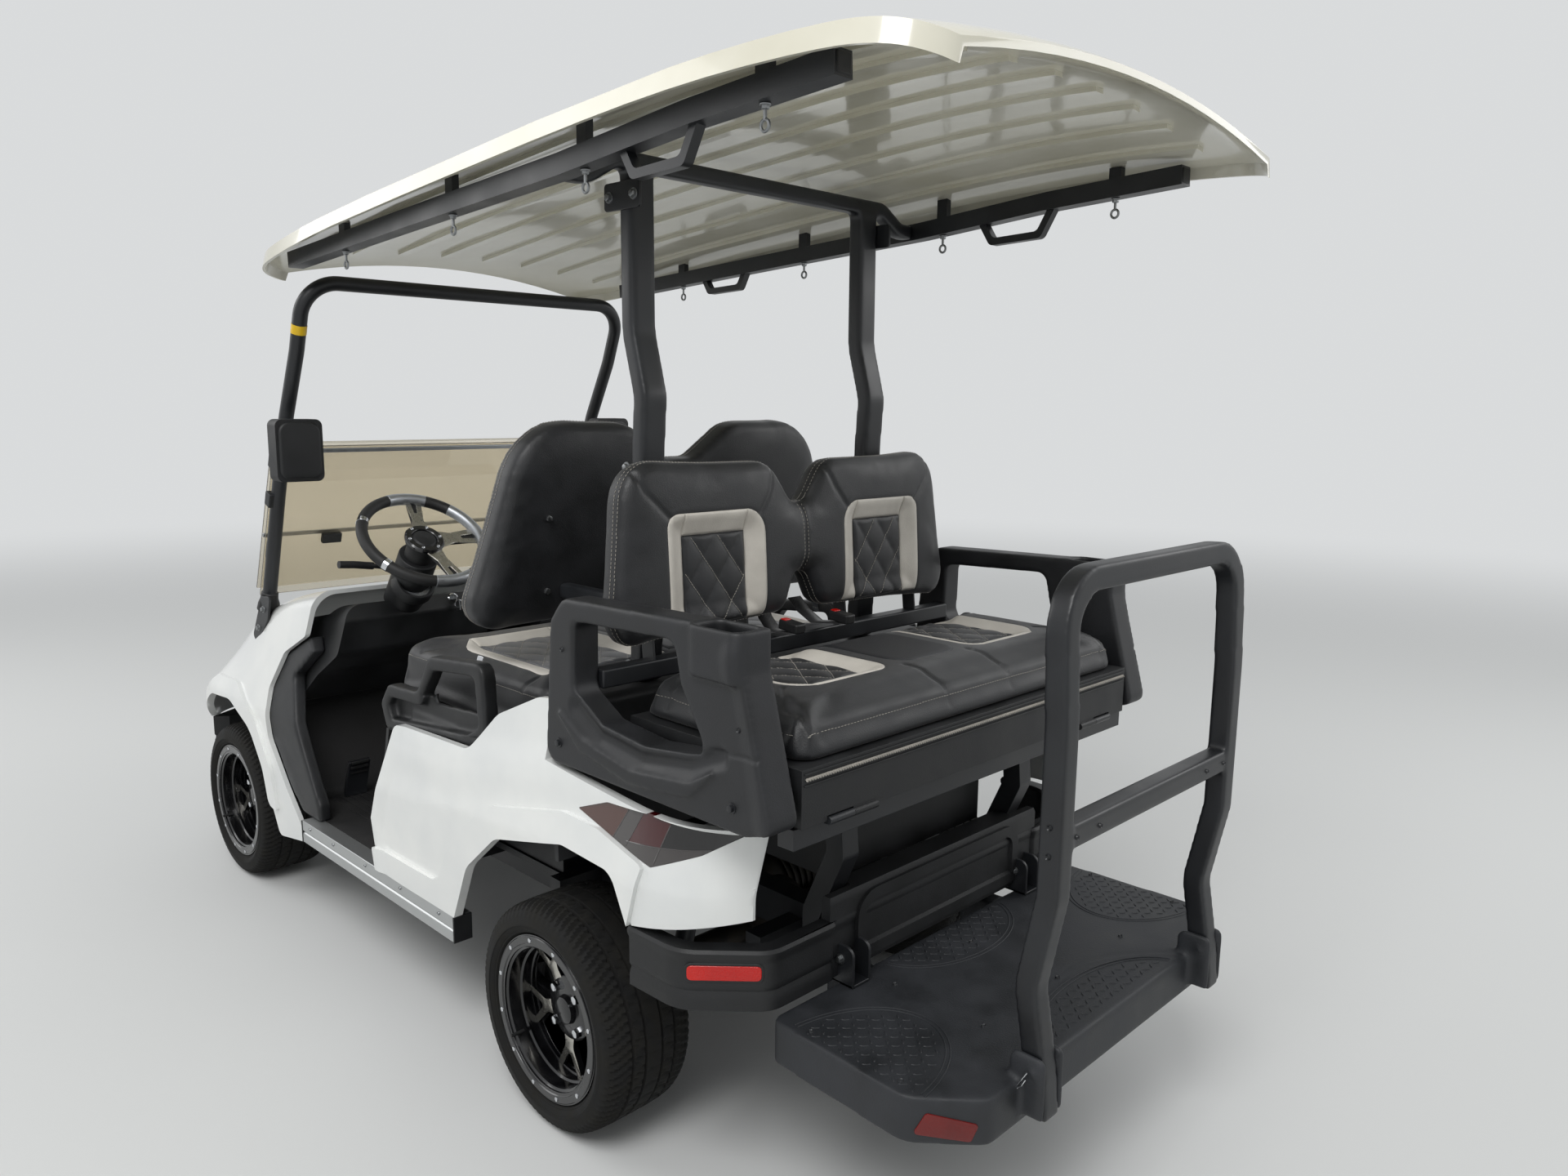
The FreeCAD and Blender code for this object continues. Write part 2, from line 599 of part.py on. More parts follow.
# Rear seat: under-frame with its two legs, side panels, back, cushion and cargo deck
leg_half = size("leg_tube") / 2
LEG_LINE = [(-70, 738), (-475, 738), (-485, 629), (-428, 500), (-428, 406)]
leg = ribbon(LEG_LINE, rx, size("leg_tube"), size("leg_y") - leg_half, size("leg_y") + leg_half, 24)
tube_top = size("rear_deck_z") - size("seam")
tube_reach = arm_in - size("seam")
under_tubes = [block(rx(x) - 18, rx(x) + 18, -tube_reach, tube_reach, tube_top - 36, tube_top)
               for x in (-100, -440)]
hinge_x = -size("deck_rear")
hinge_z = size("rear_deck_z")
barrel = size("hinge_radius")
under_tubes.append(block(rx(hinge_x + 10), rx(hinge_x + 46), -520, 520, tube_top - 36, tube_top))
for side in (-1, 1):
    low_y, high_y = sorted((side * 390.4, side * 450))
    under_tubes.append(cylinder(barrel, Vector(rx(hinge_x), low_y, hinge_z),
                                Vector(rx(hinge_x), high_y, hinge_z)))
    under_tubes.append(block(rx(hinge_x), rx(hinge_x + 14), low_y, high_y, hinge_z - barrel, tube_top))
under_tubes += [block(rx(-580), rx(-460), s * size("leg_y") - leg_half, s * size("leg_y") + leg_half,
                      tube_top - 36, 757) for s in (-1, 1)]
shaped("rear_seat_frame", fused([leg, leg.mirror(Vector(0, 0, 0), Vector(0, 1, 0))] + under_tubes))

# Side panels: heights from the deck's underside, with a cup holder sunk in the armrest's end and
# a crescent ledge under the opening
ARM_OUTLINE = [(4, -8), (-20, 265), (-60, 311), (-530, 323), (-566, 185), (-614, 13), (-545, -8)]
ARM_OPENING = [(-92, 140), (-96, 271), (-376, 281), (-392, 210), (-440, 135), (-456, 103), (-300, 85),
               (-170, 97)]
ARM_LEDGE = [(-30, 110), (-110, 38), (-260, 10), (-420, 26), (-496, 96), (-420, 52), (-260, 36), (-118, 62)]
deck_z = size("rear_deck_z")
arm = side_plate(lifted(ARM_OUTLINE, deck_z), rx, arm_in, arm_out, [30, 20, 40, 30, 60, 20, 30])
arm_window = side_plate(lifted(ARM_OPENING, deck_z), rx, arm_in - 30, arm_out + 20,
                        [30, 15, 25, 20, 15, 20, 60, 20])
arm_ledge = side_plate(lifted(ARM_LEDGE, deck_z), rx, arm_out - 10, arm_out + 7,
                       [3, 50, 90, 50, 3, 50, 90, 50])
cup_in, cup_out = arm_in + 9, arm_in + 9 + size("cup_wide")
cup_pod = plan_plate([(rx(-548), arm_in), (rx(-548), cup_out + 9), (rx(-420), cup_out + 9),
                      (rx(-420), arm_in)], deck_z + 236, deck_z + 321, [0, 24, 24, 0])
cup_room = plan_plate([(rx(-534), cup_in), (rx(-534), cup_out), (rx(-434), cup_out), (rx(-434), cup_in)],
                      deck_z + 258, deck_z + 340, [16, 16, 16, 16])
shaped("rear_side_panels", both_sides(fused([arm.cut(arm_window), arm_ledge, cup_pod]).cut(cup_room)))

REAR_BACK = [(18, 1052), (60, 972), (500, 958), (522, 1010), (484, 1338), (90, 1334), (18, 1246)]
rear_back = humped_back(REAR_BACK, [10, 40, 40, 40, 80, 70, 12], 958, rx(-128), 86, 4, 20)
rear_back_join = block(rx(-50), rx(-30), -20, 20, 1080, 1180)
shaped("rear_seat_back", fused([rear_back, rear_back_join]))

deck_low = size("rear_deck_z")
deck_top = deck_low + size("deck_tall")
deck_half = size("seat_half") + size("deck_lip")
deck = block(rx(-size("deck_rear")), rx(-size("deck_front")), -deck_half, deck_half, deck_low, deck_top)
wall = size("deck_wall")
for x_low, x_high in ((-size("deck_rear") + wall, -462), (-418, -size("deck_front") - wall)):
    for y_low, y_high in ((-deck_half + wall, -wall / 2), (wall / 2, deck_half - wall)):
        deck = deck.cut(block(rx(x_low), rx(x_high), y_low, y_high, deck_low - 1, deck_top - wall))
deck_barrels = []
for side in (-1, 1):
    low_y, high_y = sorted((side * 330, side * 390))
    deck_barrels.append(cylinder(barrel, Vector(rx(hinge_x), low_y, hinge_z),
                                 Vector(rx(hinge_x), high_y, hinge_z)))
    low_y, high_y = sorted((side * 388, side * 452))
    deck = deck.cut(block(rx(hinge_x - 1), rx(hinge_x + 9), low_y, high_y, deck_low - 1, deck_low + 9))
shaped("cargo_deck", fused([deck] + deck_barrels))
shaped("rear_seat_cushion", cushion(rx(-size("deck_rear") + 6), rx(-size("deck_front")),
                                    size("seat_half"), deck_top, deck_top + size("rear_pad"), 50))
storage_body = primitive("Part::Box", "storage_body", {"Length": "293", "Width": "472", "Height": "176.4"},
                         ("rear_axle_x - 418", "-236", "540"))
storage_neck = primitive("Part::Box", "storage_neck",
                         {"Length": "340", "Width": "400", "Height": "rear_deck_z - 36 - 2 * seam - 716"},
                         ("rear_axle_x - 440", "-200", "716"))
joined("storage_box", [storage_body, storage_neck])

# Footplate with its arms to the chassis
foot_low = size("foot_top") - size("foot_thick")
foot_rear = -size("rear_reach") + 42
foot_half = size("foot_half")
foot_outline = [(rx(-500), -foot_half), (rx(foot_rear + 98), -foot_half - 10),
                (rx(foot_rear), -foot_half + 78), (rx(foot_rear), foot_half - 78),
                (rx(foot_rear + 98), foot_half + 10), (rx(-500), foot_half)]
foot = plan_plate(foot_outline, foot_low, size("foot_top"), [20, 60, 40, 40, 60, 20])
# Two arcs sunk in its top part the tread fields
for radius in (330, 312):
    arc = Part.makeCylinder(radius, 6, Vector(rx(foot_rear - 190), 0, size("foot_top") - 3))
    arc = arc.cut(Part.makeCylinder(radius - 7, 8, Vector(rx(foot_rear - 190), 0, size("foot_top") - 4)))
    foot = foot.cut(arc)
foot_arms = [block(rx(-760), rx(-420), s * size("rail_y") - 25, s * size("rail_y") + 25, 300, 380)
             for s in (-1, 1)]
foot_hangers = [block(rx(-450), rx(-410), s * size("rail_y") - 25, s * size("rail_y") + 25, 300, 399.6)
                for s in (-1, 1)]

# Grab bar: one bent square tube with a crossbar, pinned behind the footplate
grab = size("grab_tube")
grab_x = -size("rear_reach") + grab / 2
GRAB_LINE = [(grab_x, 325), (grab_x + 6, 400), (grab_x + 30, 534), (grab_x, 690), (grab_x, 960),
             (grab_x + 10, 1176)]
half_line = [Vector(rx(x), size("grab_y"), z) for x, z in GRAB_LINE]
grab_line = half_line + [Vector(p.x, -p.y, p.z) for p in half_line[::-1]]
grab_bends = [0, 60, 90, 90, 200, 80, 80, 200, 90, 90, 60, 0]
grab_loop = tube(grab_line, grab_bends, wide=grab, tall=grab)
crossbar = block(rx(grab_x) - 18, rx(grab_x) + 18, -size("grab_y"), size("grab_y"), 763, 803)
PIN_Z = 409
pin_room = both_sides(cylinder(6 + size("seam"), Vector(rx(grab_x), size("grab_y") - grab, PIN_Z),
                               Vector(rx(grab_x), size("grab_y") + grab, PIN_Z)))
shaped("grab_bar", fused([grab_loop, crossbar]).cut(pin_room))
grab_room = tube(grab_line, grab_bends, wide=grab + 2 * size("seam"), tall=grab + 2 * size("seam"))
# Ears on each side of a leg, with the pin through them
ears = []
ear_near = grab / 2 + size("seam")
for side in (-1, 1):
    leg_at = side * size("grab_y")
    for edge in (leg_at - ear_near - 11, leg_at + ear_near):
        ears.append(side_plate([(grab_x - 20, 330), (grab_x - 20, 436), (foot_rear + 24, 436),
                                (foot_rear + 24, 330)], rx, edge, edge + 11, [6, 18, 18, 0]))
pins = both_sides(cylinder(6, Vector(rx(grab_x), size("grab_y") - ear_near - 16, PIN_Z),
                           Vector(rx(grab_x), size("grab_y") + ear_near + 16, PIN_Z)))
footplate = fused([foot] + foot_arms + foot_hangers + ears).cut(grab_room)
shaped("footplate", fused([footplate] + pins.Solids))

# Rear bumper: black band round the corners, with the crossbeam between the seat legs
bumper_plan = [(rx(-262), 596), (rx(-390), 592), (rx(-506), 480), (rx(-506), 318)]
inner_plan = [(rx(-478), 318), (rx(-478), 466), (rx(-378), 562), (rx(-262), 566)]
corner_band = plan_plate(bumper_plan + inner_plan, 404, 515, [0, 90, 60, 15, 0, 40, 60, 0])
crossbeam = block(rx(-500), rx(-484), -330, 330, 404, 560)
crossbeam_back = block(rx(-490), rx(-450.4), -258, 258, 404, 560)
shaped("rear_bumper", fused([corner_band, corner_band.mirror(Vector(0, 0, 0), Vector(0, 1, 0)),
                             crossbeam, crossbeam_back]))

# Front cowl: columns as for the rear body, stations from the front axle
COWL = [
    (-640, 12, 215, 4, 560, 75, 950),
    (-540, 12, 215, 4, 560, 80, 930),
    (-340, 10, 215, 2, 560, 85, 890),
    (-190, 10, 215, 0, 560, 95, 850),
    (30, 14, 215, 2, 560, 130, 775),
    (230, 40, 300, 28, 540, 190, 690),
    (345, 110, 330, 95, 520, 260, 620),
    (390, 180, 350, 170, 500, 310, 570),
]
cowl_outer = body_loft(COWL, fx, 0)
cowl_inner = body_loft(COWL, fx, size("skin"), -size("skin"), -size("skin"))
COWL_OUTLINE = [
    (-476, 302), (-526, 250), (-336, 218), (-294, 300), (-270, 400), (-200, 500), (-60, 560), (110, 545),
    (240, 470), (300, 420), (420, 420), (420, 1000), (-496, 1000), (-470, 800), (-348, 738),
    (-292, 634), (-311, 496), (-405, 377),
]
cowl_radii = [0, 0, 25, 30, 120, 120, 120, 120, 60, 10, 0, 0, 0, 15, 40, 40, 60, 40]
cowl_prism = side_plate(COWL_OUTLINE, fx, -700, 700, cowl_radii)
cowl = cowl_outer.cut(cowl_inner).common(cowl_prism)
FRONT_FLARE = [
    (-294, 300), (-270, 400), (-200, 500), (-60, 560), (110, 545), (240, 470), (300, 420), (358, 420),
    (292, 512), (132, 596), (-72, 613), (-238, 544), (-322, 412), (-348, 290),
]
front_flare = body_loft(COWL, fx, -size("flare")).cut(body_loft(COWL, fx, size("skin") / 2, -20, 20))
front_flare = front_flare.common(side_plate(FRONT_FLARE, fx, 300, 700,
                                            [30, 120, 120, 120, 120, 60, 10, 8, 60, 90, 90, 90, 60, 8]))
cowl = cowl.fuse(both_sides(front_flare).Solids)
# Grille: slots through the nose, low to high
for z in (446, 466, 486):
    slot = plan_plate([(fx(360), -190), (fx(400), -190), (fx(400), 190), (fx(360), 190)], z - 5, z + 5)
    cowl = cowl.cut(slot)

# Front bumper: black nose piece below the cowl
nose = size("front_reach")
front_plan = [(fx(300), 540), (fx(nose - 30), 420), (fx(nose), 300), (fx(nose), -300),
              (fx(nose - 30), -420), (fx(300), -540), (fx(270), -500), (fx(nose - 60), -390),
              (fx(nose - 34), -280), (fx(nose - 34), 280), (fx(nose - 60), 390), (fx(270), 500)]
front_bumper = plan_plate(front_plan, 300, 419.6, [0, 60, 60, 60, 60, 0, 0, 30, 30, 30, 30, 0])
bumper_arms = [block(fx(284), fx(nose - 20), s * size("rail_y") - 20, s * size("rail_y") + 20, 300, 350)
               for s in (-1, 1)]
shaped("front_bumper", fused([front_bumper] + bumper_arms))

# Headlamps set into the cowl's front corners
HEADLAMP_OUTLINE = [(236, 470), (410, 452), (440, 500), (330, 556), (252, 560)]


# The lamp's outline in the front view, pushed through the cowl's corner
def lamp_block(shrink):
    outline = rounded([Vector(fx(250), y, z) for y, z in HEADLAMP_OUTLINE], [12, 20, 20, 30, 12])
    face = Part.Face(outline)
    if shrink:
        face = Part.Face(face.makeOffset2D(-shrink).Wires)
    return face.extrude(Vector(160, 0, 0))


lamp_shell = cowl_outer.cut(body_loft(COWL, fx, 2.5 * size("skin"), -40, -2.5 * size("skin")))
headlamps = both_sides(lamp_shell.common(lamp_block(size("seam"))))
shaped("headlamps", headlamps)
headlamp_room = lamp_block(0)

# Dashboard with the door-opening trims
DASH_OUTLINE = [(-590, 850), (-560, 900), (-480, 902), (-460, 850), (-230, 800), (-230, 600),
                (-380, 600), (-470, 690), (-575, 760)]
trim_inset = size("skin") + size("seam")
dash = side_plate(DASH_OUTLINE, fx, -600, 600, [20, 25, 20, 20, 30, 20, 20, 40, 30])
dash = dash.common(body_loft(COWL, fx, trim_inset + 34 + size("seam")))
# Cubbies and cup holders sunk in its face: y from, y to, z from, z to
for y_low, y_high, z_low, z_high in ((-420, -180, 725, 820), (-120, 60, 735, 815)):
    cubby = block(fx(-620), fx(-440), y_low, y_high, z_low, z_high)
    dash = dash.cut(cubby.makeFillet(14, [edge for edge in cubby.Edges if edge.BoundBox.XLength > 100]))
foot_z = size("floor_z") + size("seam")
TRIM_OUTER = [(-466, 796), (-344, 736), (-286, 634), (-305, 497), (-399, 379), (-470, foot_z)]
TRIM_INNER = [(-581, foot_z), (-581, 362), (-500, 500), (-405, 683), (-500, 760)]
trim = side_plate(TRIM_OUTER + TRIM_INNER, fx, 300, 620, 0)
trim = trim.common(body_loft(COWL, fx, trim_inset).cut(body_loft(COWL, fx, trim_inset + 34, -2, 2)))
shaped("footwell_trims", both_sides(trim))

# Front hoop of round tube, its legs leaning back and its top across the windshield head
HOOP_LINE = [(-91, 760), (-153, 933), (-234, 1150), (-324, 1377), (-418, 1548), (-486, 1722)]
hoop_y = size("glass_half") - size("hoop_inset")
hoop_leg = [Vector(fx(x), hoop_y, z) for x, z in HOOP_LINE]
hoop_line = hoop_leg + [Vector(p.x, -p.y, p.z) for p in hoop_leg[::-1]]
hoop_bends = [0, 300, 300, 300, 300, 90, 90, 300, 300, 300, 300, 0]
hoop = tube(hoop_line, hoop_bends, radius=size("hoop_radius"))
hoop_room = tube(hoop_line, hoop_bends, radius=size("hoop_radius") + size("seam"))
GLASS_FOOT = Vector(fx(-96), 0, 862)
GLASS_HEAD = Vector(fx(-264), 0, 1300)
glass_along = (GLASS_HEAD - GLASS_FOOT).normalize()
glass_ahead = Vector(glass_along.z, 0, -glass_along.x)
clips = []
for share in (0.32, 0.86):
    centre = GLASS_FOOT + (GLASS_HEAD - GLASS_FOOT) * share
    near = size("glass_thick") / 2 + size("seam")
    corners = [centre + glass_along * a - glass_ahead * b + Vector(0, hoop_y - 12, 0)
               for a, b in ((-25, near), (25, near), (25, 24), (-25, 24))]
    clips.append(Part.Face(rounded(corners, 0)).extrude(Vector(0, 24, 0)))
clips += [c.mirror(Vector(0, 0, 0), Vector(0, 1, 0)) for c in clips]
shaped("front_hoop", fused([hoop] + clips))
cowl = cowl.cut(hoop_room).cut(both_sides(headlamp_room))
shaped("front_cowl", cowl)

# Roof posts beside the front seat back, with the bent cross tube over them
POST_LINE = [(16, 867), (4, 1330), (-4, 1440), (30, 1560), (34, 1872)]
post = ribbon(POST_LINE, rx, size("post_deep"), size("post_y") - size("post_wide") / 2,
              size("post_y") + size("post_wide") / 2, 80)
rail_in = size("roof_rail_y") - size("roof_tube") / 2 - size("seam")
half_cross = [Vector(rx(34), rail_in, 1841), Vector(rx(34), 455, 1841), Vector(rx(34), 390, 1880)]
cross_line = half_cross + [Vector(p.x, -p.y, p.z) for p in half_cross[::-1]]
cross_tube = tube(cross_line, 40, wide=34, tall=34, side=Vector(1, 0, 0))
seat_arms = [block(rx(-60), rx(340), s * size("post_y") - 15, s * size("post_y") + 15, 1000, 1034)
             for s in (-1, 1)]
posts = fused([post, post.mirror(Vector(0, 0, 0), Vector(0, 1, 0)), cross_tube] + seat_arms)
shaped("roof_posts", posts.cut(front_back).cut(rear_back))

# Roof frame: side rails with their grab handles
RAIL_TOP = placed([(rx, -663, 1891), (rx, -350, 1874), (rx, 0, 1843), (fx, -1086, 1808), (fx, -486, 1770)])
roof_rail = ribbon(RAIL_TOP, float, size("roof_tube"), size("roof_rail_y") - size("roof_tube") / 2,
                   size("roof_rail_y") + size("roof_tube") / 2, 200)
# Grab handles under the rails: where each starts and its height there, then the sides that have it
HANDLES = [(rx(-370), 1876, (1, -1)), (fx(-1066), 1822, (-1,))]
handles = {1: [], -1: []}
for start, z, sides in HANDLES:
    line = [(start, z), (start + 40, z - 70), (start + 165, z - 75), (start + 205, z - 12)]
    handle = ribbon(line, float, 16, size("roof_rail_y") - 10, size("roof_rail_y") + 10, 16)
    for side in sides:
        handles[side].append(handle if side > 0 else handle.mirror(Vector(0, 0, 0), Vector(0, 1, 0)))
# Roof: columns are place, how far in from roof_half, lip height
ROOF = placed([
    (rx, -840, 85, 1862),
    (rx, -790, 25, 1880),
    (rx, -660, 0, 1892),
    (rx, -100, 0, 1882),
    (fx, -1176, 0, 1838),
    (fx, -496, 5, 1770),
    (fx, -356, 35, 1752),
    (fx, -280, 115, 1738),
])


def roof_ring(x, inset, lip, skin):
    crown = size("roof_crown")
    wide = size("roof_half") - inset
    low = [Vector(x, wide, lip), Vector(x, wide - 8, lip + 34)]
    top = Vector(x, 0, lip + crown)
    inner_low = [Vector(x, wide - 8, lip), Vector(x, wide - 16, lip + 34 - skin)]
    inner_top = Vector(x, 0, lip + crown - skin)
    edges = [
        Part.LineSegment(low[0], low[1]).toShape(),
        Part.Arc(low[1], top, Vector(x, -low[1].y, low[1].z)).toShape(),
        Part.LineSegment(Vector(x, -low[1].y, low[1].z), Vector(x, -low[0].y, low[0].z)).toShape(),
        Part.LineSegment(Vector(x, -low[0].y, lip), Vector(x, -inner_low[0].y, lip)).toShape(),
        Part.LineSegment(Vector(x, -inner_low[0].y, lip),
                         Vector(x, -inner_low[1].y, inner_low[1].z)).toShape(),
        Part.Arc(Vector(x, -inner_low[1].y, inner_low[1].z), inner_top, inner_low[1]).toShape(),
        Part.LineSegment(inner_low[1], inner_low[0]).toShape(),
        Part.LineSegment(inner_low[0], low[0]).toShape(),
    ]
    return Part.Wire(edges)


# The roof, and a thicker one that gives its ribs their depth
def roof_loft(skin):
    return Part.makeLoft([roof_ring(*row, skin) for row in ROOF], True, False)


roof = roof_loft(size("roof_skin"))
rib_depth = roof_loft(size("roof_skin") + size("rib_tall"))
rib_half = size("rib_wide") / 2
ribs = [rib_depth.common(block(rx(-720), fx(-420), y - rib_half, y + rib_half, 1700, 2100))
        for y in (-455, -325, -195, -65, 65, 195, 325, 455)]


# Height of a line drawn by a table's first and last columns
def height_at(table, x):
    before = [row for row in table if row[0] <= x][-1]
    after = [row for row in table if row[0] > x][0]
    share = (x - before[0]) / (after[0] - before[0])
    return before[-1] + (after[-1] - before[-1]) * share


stays = [block(x - 14, x + 14, size("roof_rail_y") - 8, size("roof_rail_y") + 8, height_at(RAIL_TOP, x),
               height_at(ROOF, x) + 36) for x in (rx(-510), rx(-60), fx(-1276), fx(-776))]
shaped("roof_canopy", roof.fuse(ribs))
roof_seat = roof.copy()
roof_seat.translate(Vector(0, 0, -size("seam")))
left_rail = fused([roof_rail] + stays)
right_rail = left_rail.mirror(Vector(0, 0, 0), Vector(0, 1, 0))
shaped("roof_rails", Part.makeCompound([fused([left_rail] + handles[1]).cut(roof_seat),
                                        fused([right_rail] + handles[-1]).cut(roof_seat)]))

# Windshield, folded: the fixed lower sheet and the upper sheet hanging in front of it
glass = size("glass_thick")
LOWER_GLASS = [(-96, 862), (-261.3, 1293)]
UPPER_GLASS = [(-246.4, 1297), (-74, 880)]
lower_glass = ribbon(LOWER_GLASS, fx, glass, -size("glass_half"), size("glass_half"), 0)
lower_trim = ribbon([(-257, 1282.7), (-261.2, 1293.7)], fx, 10, -size("glass_half"), size("glass_half"), 0)
shaped("windshield_lower", fused([lower_glass, lower_trim]))
upper_glass = ribbon(UPPER_GLASS, fx, glass, -size("glass_half"), size("glass_half"), 0)
hinge_bar = cylinder(7, Vector(fx(-250.8), -size("glass_half"), 1300),
                     Vector(fx(-250.8), size("glass_half"), 1300))
shaped("windshield_upper", fused([upper_glass, hinge_bar]))

# Mirrors on the hoop's legs
mirror_head = block(fx(-428), fx(-376), hoop_y - 52, hoop_y + 72, 1208, 1372)
mirror_head = mirror_head.makeFillet(18, [e for e in mirror_head.Edges if e.Length < 60])
mirror_arm = block(fx(-400), fx(-273), hoop_y - 14, hoop_y + 14, 1240, 1262)
shaped("mirrors", both_sides(fused([mirror_head, mirror_arm]).cut(hoop_room)))

# Steering: column, wheel, rack and the two knuckles
tilt = math.radians(size("steer_tilt"))
steer_axis = Vector(-math.cos(tilt), 0, math.sin(tilt))
wheel_centre = Vector(fx(-682), size("steer_y"), 1062)
column_top = wheel_centre - steer_axis * 61.5
column_end = wheel_centre - steer_axis * 560
column = cylinder(size("column_radius"), column_end, column_top)
column_shroud = cylinder(52, wheel_centre - steer_axis * 230, column_top)
shaped("steering_column", fused([column, column_shroud]))
column_room = cylinder(size("column_radius") + size("seam"), column_end - steer_axis, column_top)
shroud_room = cylinder(52 + size("seam"), wheel_centre - steer_axis * 230.4, column_top)
shaped("dashboard", dash.cut(column_room).cut(shroud_room))

ring = Part.makeTorus(size("steer_ring"), size("grip_radius"), Vector(0, 0, 0), Vector(0, 0, 1))
hub = Part.makeCylinder(38, 50, Vector(0, 0, -61))
boss = Part.makeCylinder(46, 14, Vector(0, 0, -18))
spokes = []
for angle in (-12, 192, 270):
    arm_box = Part.makeBox(size("steer_ring"), 34, 7, Vector(0, -17, -13))
    arm_box.rotate(Vector(0, 0, 0), Vector(0, 0, 1), angle)
    spokes.append(arm_box)
steering_wheel = fused([ring, hub, boss] + spokes)
face_turn = Rotation(Vector(0, 0, 1), steer_axis)
shaped("steering_wheel", steering_wheel, Placement(wheel_centre, face_turn))

# Knuckles: kingpin post, drum, spindle and steering arm. side is "" or "-", ahead of a formula
hub_face = "front_wheel_y + 0.5 * rim_width - hub_setback - 22 - seam"
front_axle = "rear_axle_x + wheelbase"


def knuckle(label, side):
    outward = Rotation(Vector(1, 0, 0), 90 if side else -90)
    sign = "-1" if side else "1"
    post = primitive("Part::Cylinder", label + "_post", {"Radius": "20", "Height": "121"},
                     (front_axle, sign + " * kingpin_y", "tyre_radius - 55.5"))
    drum = primitive("Part::Cylinder", label + "_drum", {"Radius": "88", "Height": "34"},
                     (front_axle, sign + " * (" + hub_face + " - 34)", "tyre_radius"), outward)
    spindle = primitive("Part::Cylinder", label + "_spindle",
                        {"Radius": "22", "Height": hub_face + " - 2 - kingpin_y"},
                        (front_axle, sign + " * kingpin_y", "tyre_radius"), outward)
    arm = primitive("Part::Box", label + "_arm", {"Length": "120", "Width": "24", "Height": "12"},
                    (front_axle + " - 120", sign + " * kingpin_y - 12", "tyre_radius - 50"))
    joined(label, [post, drum, spindle, arm])


knuckle("knuckle_left", "")
knuckle("knuckle_right", "-")

# Steering rack: a rod between the knuckles' arms, with an eye on each
rod = primitive("Part::Cylinder", "rack_rod", {"Radius": "9", "Height": "2 * kingpin_y"},
                (front_axle + " - 110", "-kingpin_y", "tyre_radius - 22"), Rotation(Vector(1, 0, 0), -90))
eyes = [primitive("Part::Cylinder", "rack_eye_" + name, {"Radius": "15", "Height": "27.6"},
                  (front_axle + " - 110", place, "tyre_radius - 37.6"))
        for name, place in (("left", "kingpin_y"), ("right", "-kingpin_y"))]
joined("steering_rack", [rod] + eyes)

# Front suspension: a wishbone pair with its coil-over on each side
lower_arm = side_plate([(-70, 160), (-70, 174), (70, 174), (70, 160)], fx, 240.4, 410, 0)
upper_arm = side_plate([(-50, 296), (-50, 308), (50, 308), (50, 296)], fx, 240.4, 410, 0)
coil_over = cylinder(24, Vector(fx(0), 300, 172), Vector(fx(0), 270, 298))
shaped("front_suspension", both_sides(fused([lower_arm, upper_arm, coil_over])))

# Pedals
pedals = []
for y in (190, 380):
    pad = side_plate([(-470, 425), (-462, 429), (-424, 338), (-424, foot_z), (-440, foot_z),
                      (-440, 338)], fx, y, y + 62, 0)
    pedals.append(pad)
shaped("pedals", Part.makeCompound(pedals))

doc.recompute()
for obj in doc.Objects:
    if "Invalid" in obj.State or "Error" in obj.State:
        raise RuntimeError("not built: " + obj.Label)
os.makedirs("parts", exist_ok=True)
for piece in pieces:
    shape = piece.Shape
    if shape.isNull() or not shape.isValid() or shape.Volume <= 0:
        raise RuntimeError("bad shape: " + piece.Label)
    shape.exportStep("parts/%s.step" % piece.Label)
    print(piece.Label, len(shape.Solids), round(shape.Volume / 1e6, 2), "litres")
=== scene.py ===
import json
import math

import bmesh
import bpy
from mathutils import Matrix, Vector
from mathutils.bvhtree import BVHTree


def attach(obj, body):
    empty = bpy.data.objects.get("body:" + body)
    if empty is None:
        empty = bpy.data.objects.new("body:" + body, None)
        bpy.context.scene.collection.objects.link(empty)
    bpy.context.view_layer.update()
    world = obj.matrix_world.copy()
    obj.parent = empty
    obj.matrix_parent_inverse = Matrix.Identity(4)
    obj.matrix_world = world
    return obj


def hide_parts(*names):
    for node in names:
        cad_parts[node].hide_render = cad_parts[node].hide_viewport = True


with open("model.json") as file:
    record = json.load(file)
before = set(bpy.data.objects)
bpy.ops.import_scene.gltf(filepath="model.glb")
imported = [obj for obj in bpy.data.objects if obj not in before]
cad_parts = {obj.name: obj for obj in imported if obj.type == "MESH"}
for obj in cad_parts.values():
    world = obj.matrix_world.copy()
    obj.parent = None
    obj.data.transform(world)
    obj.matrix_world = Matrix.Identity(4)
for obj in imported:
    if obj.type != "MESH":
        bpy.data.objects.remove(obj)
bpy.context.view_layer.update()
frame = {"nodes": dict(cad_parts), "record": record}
print("frame loaded")

# Golf cart seen from its rear left. Metres, +X to the front, +Y to the driver's left, +Z up.
rearAxle = -0.570
frontAxle = 1.106

# Camera, floor and light

camera = {
    "place": (-2.3298, 1.7333, 1.4315),
    "heading": -45.376,  # degrees round from +X
    "pitch": -9.405,
    "roll": 0.6637,
    "lens": 25.795,
}


def placed(name, data):
    made = bpy.data.objects.new(name, data)
    bpy.context.scene.collection.objects.link(made)
    return made


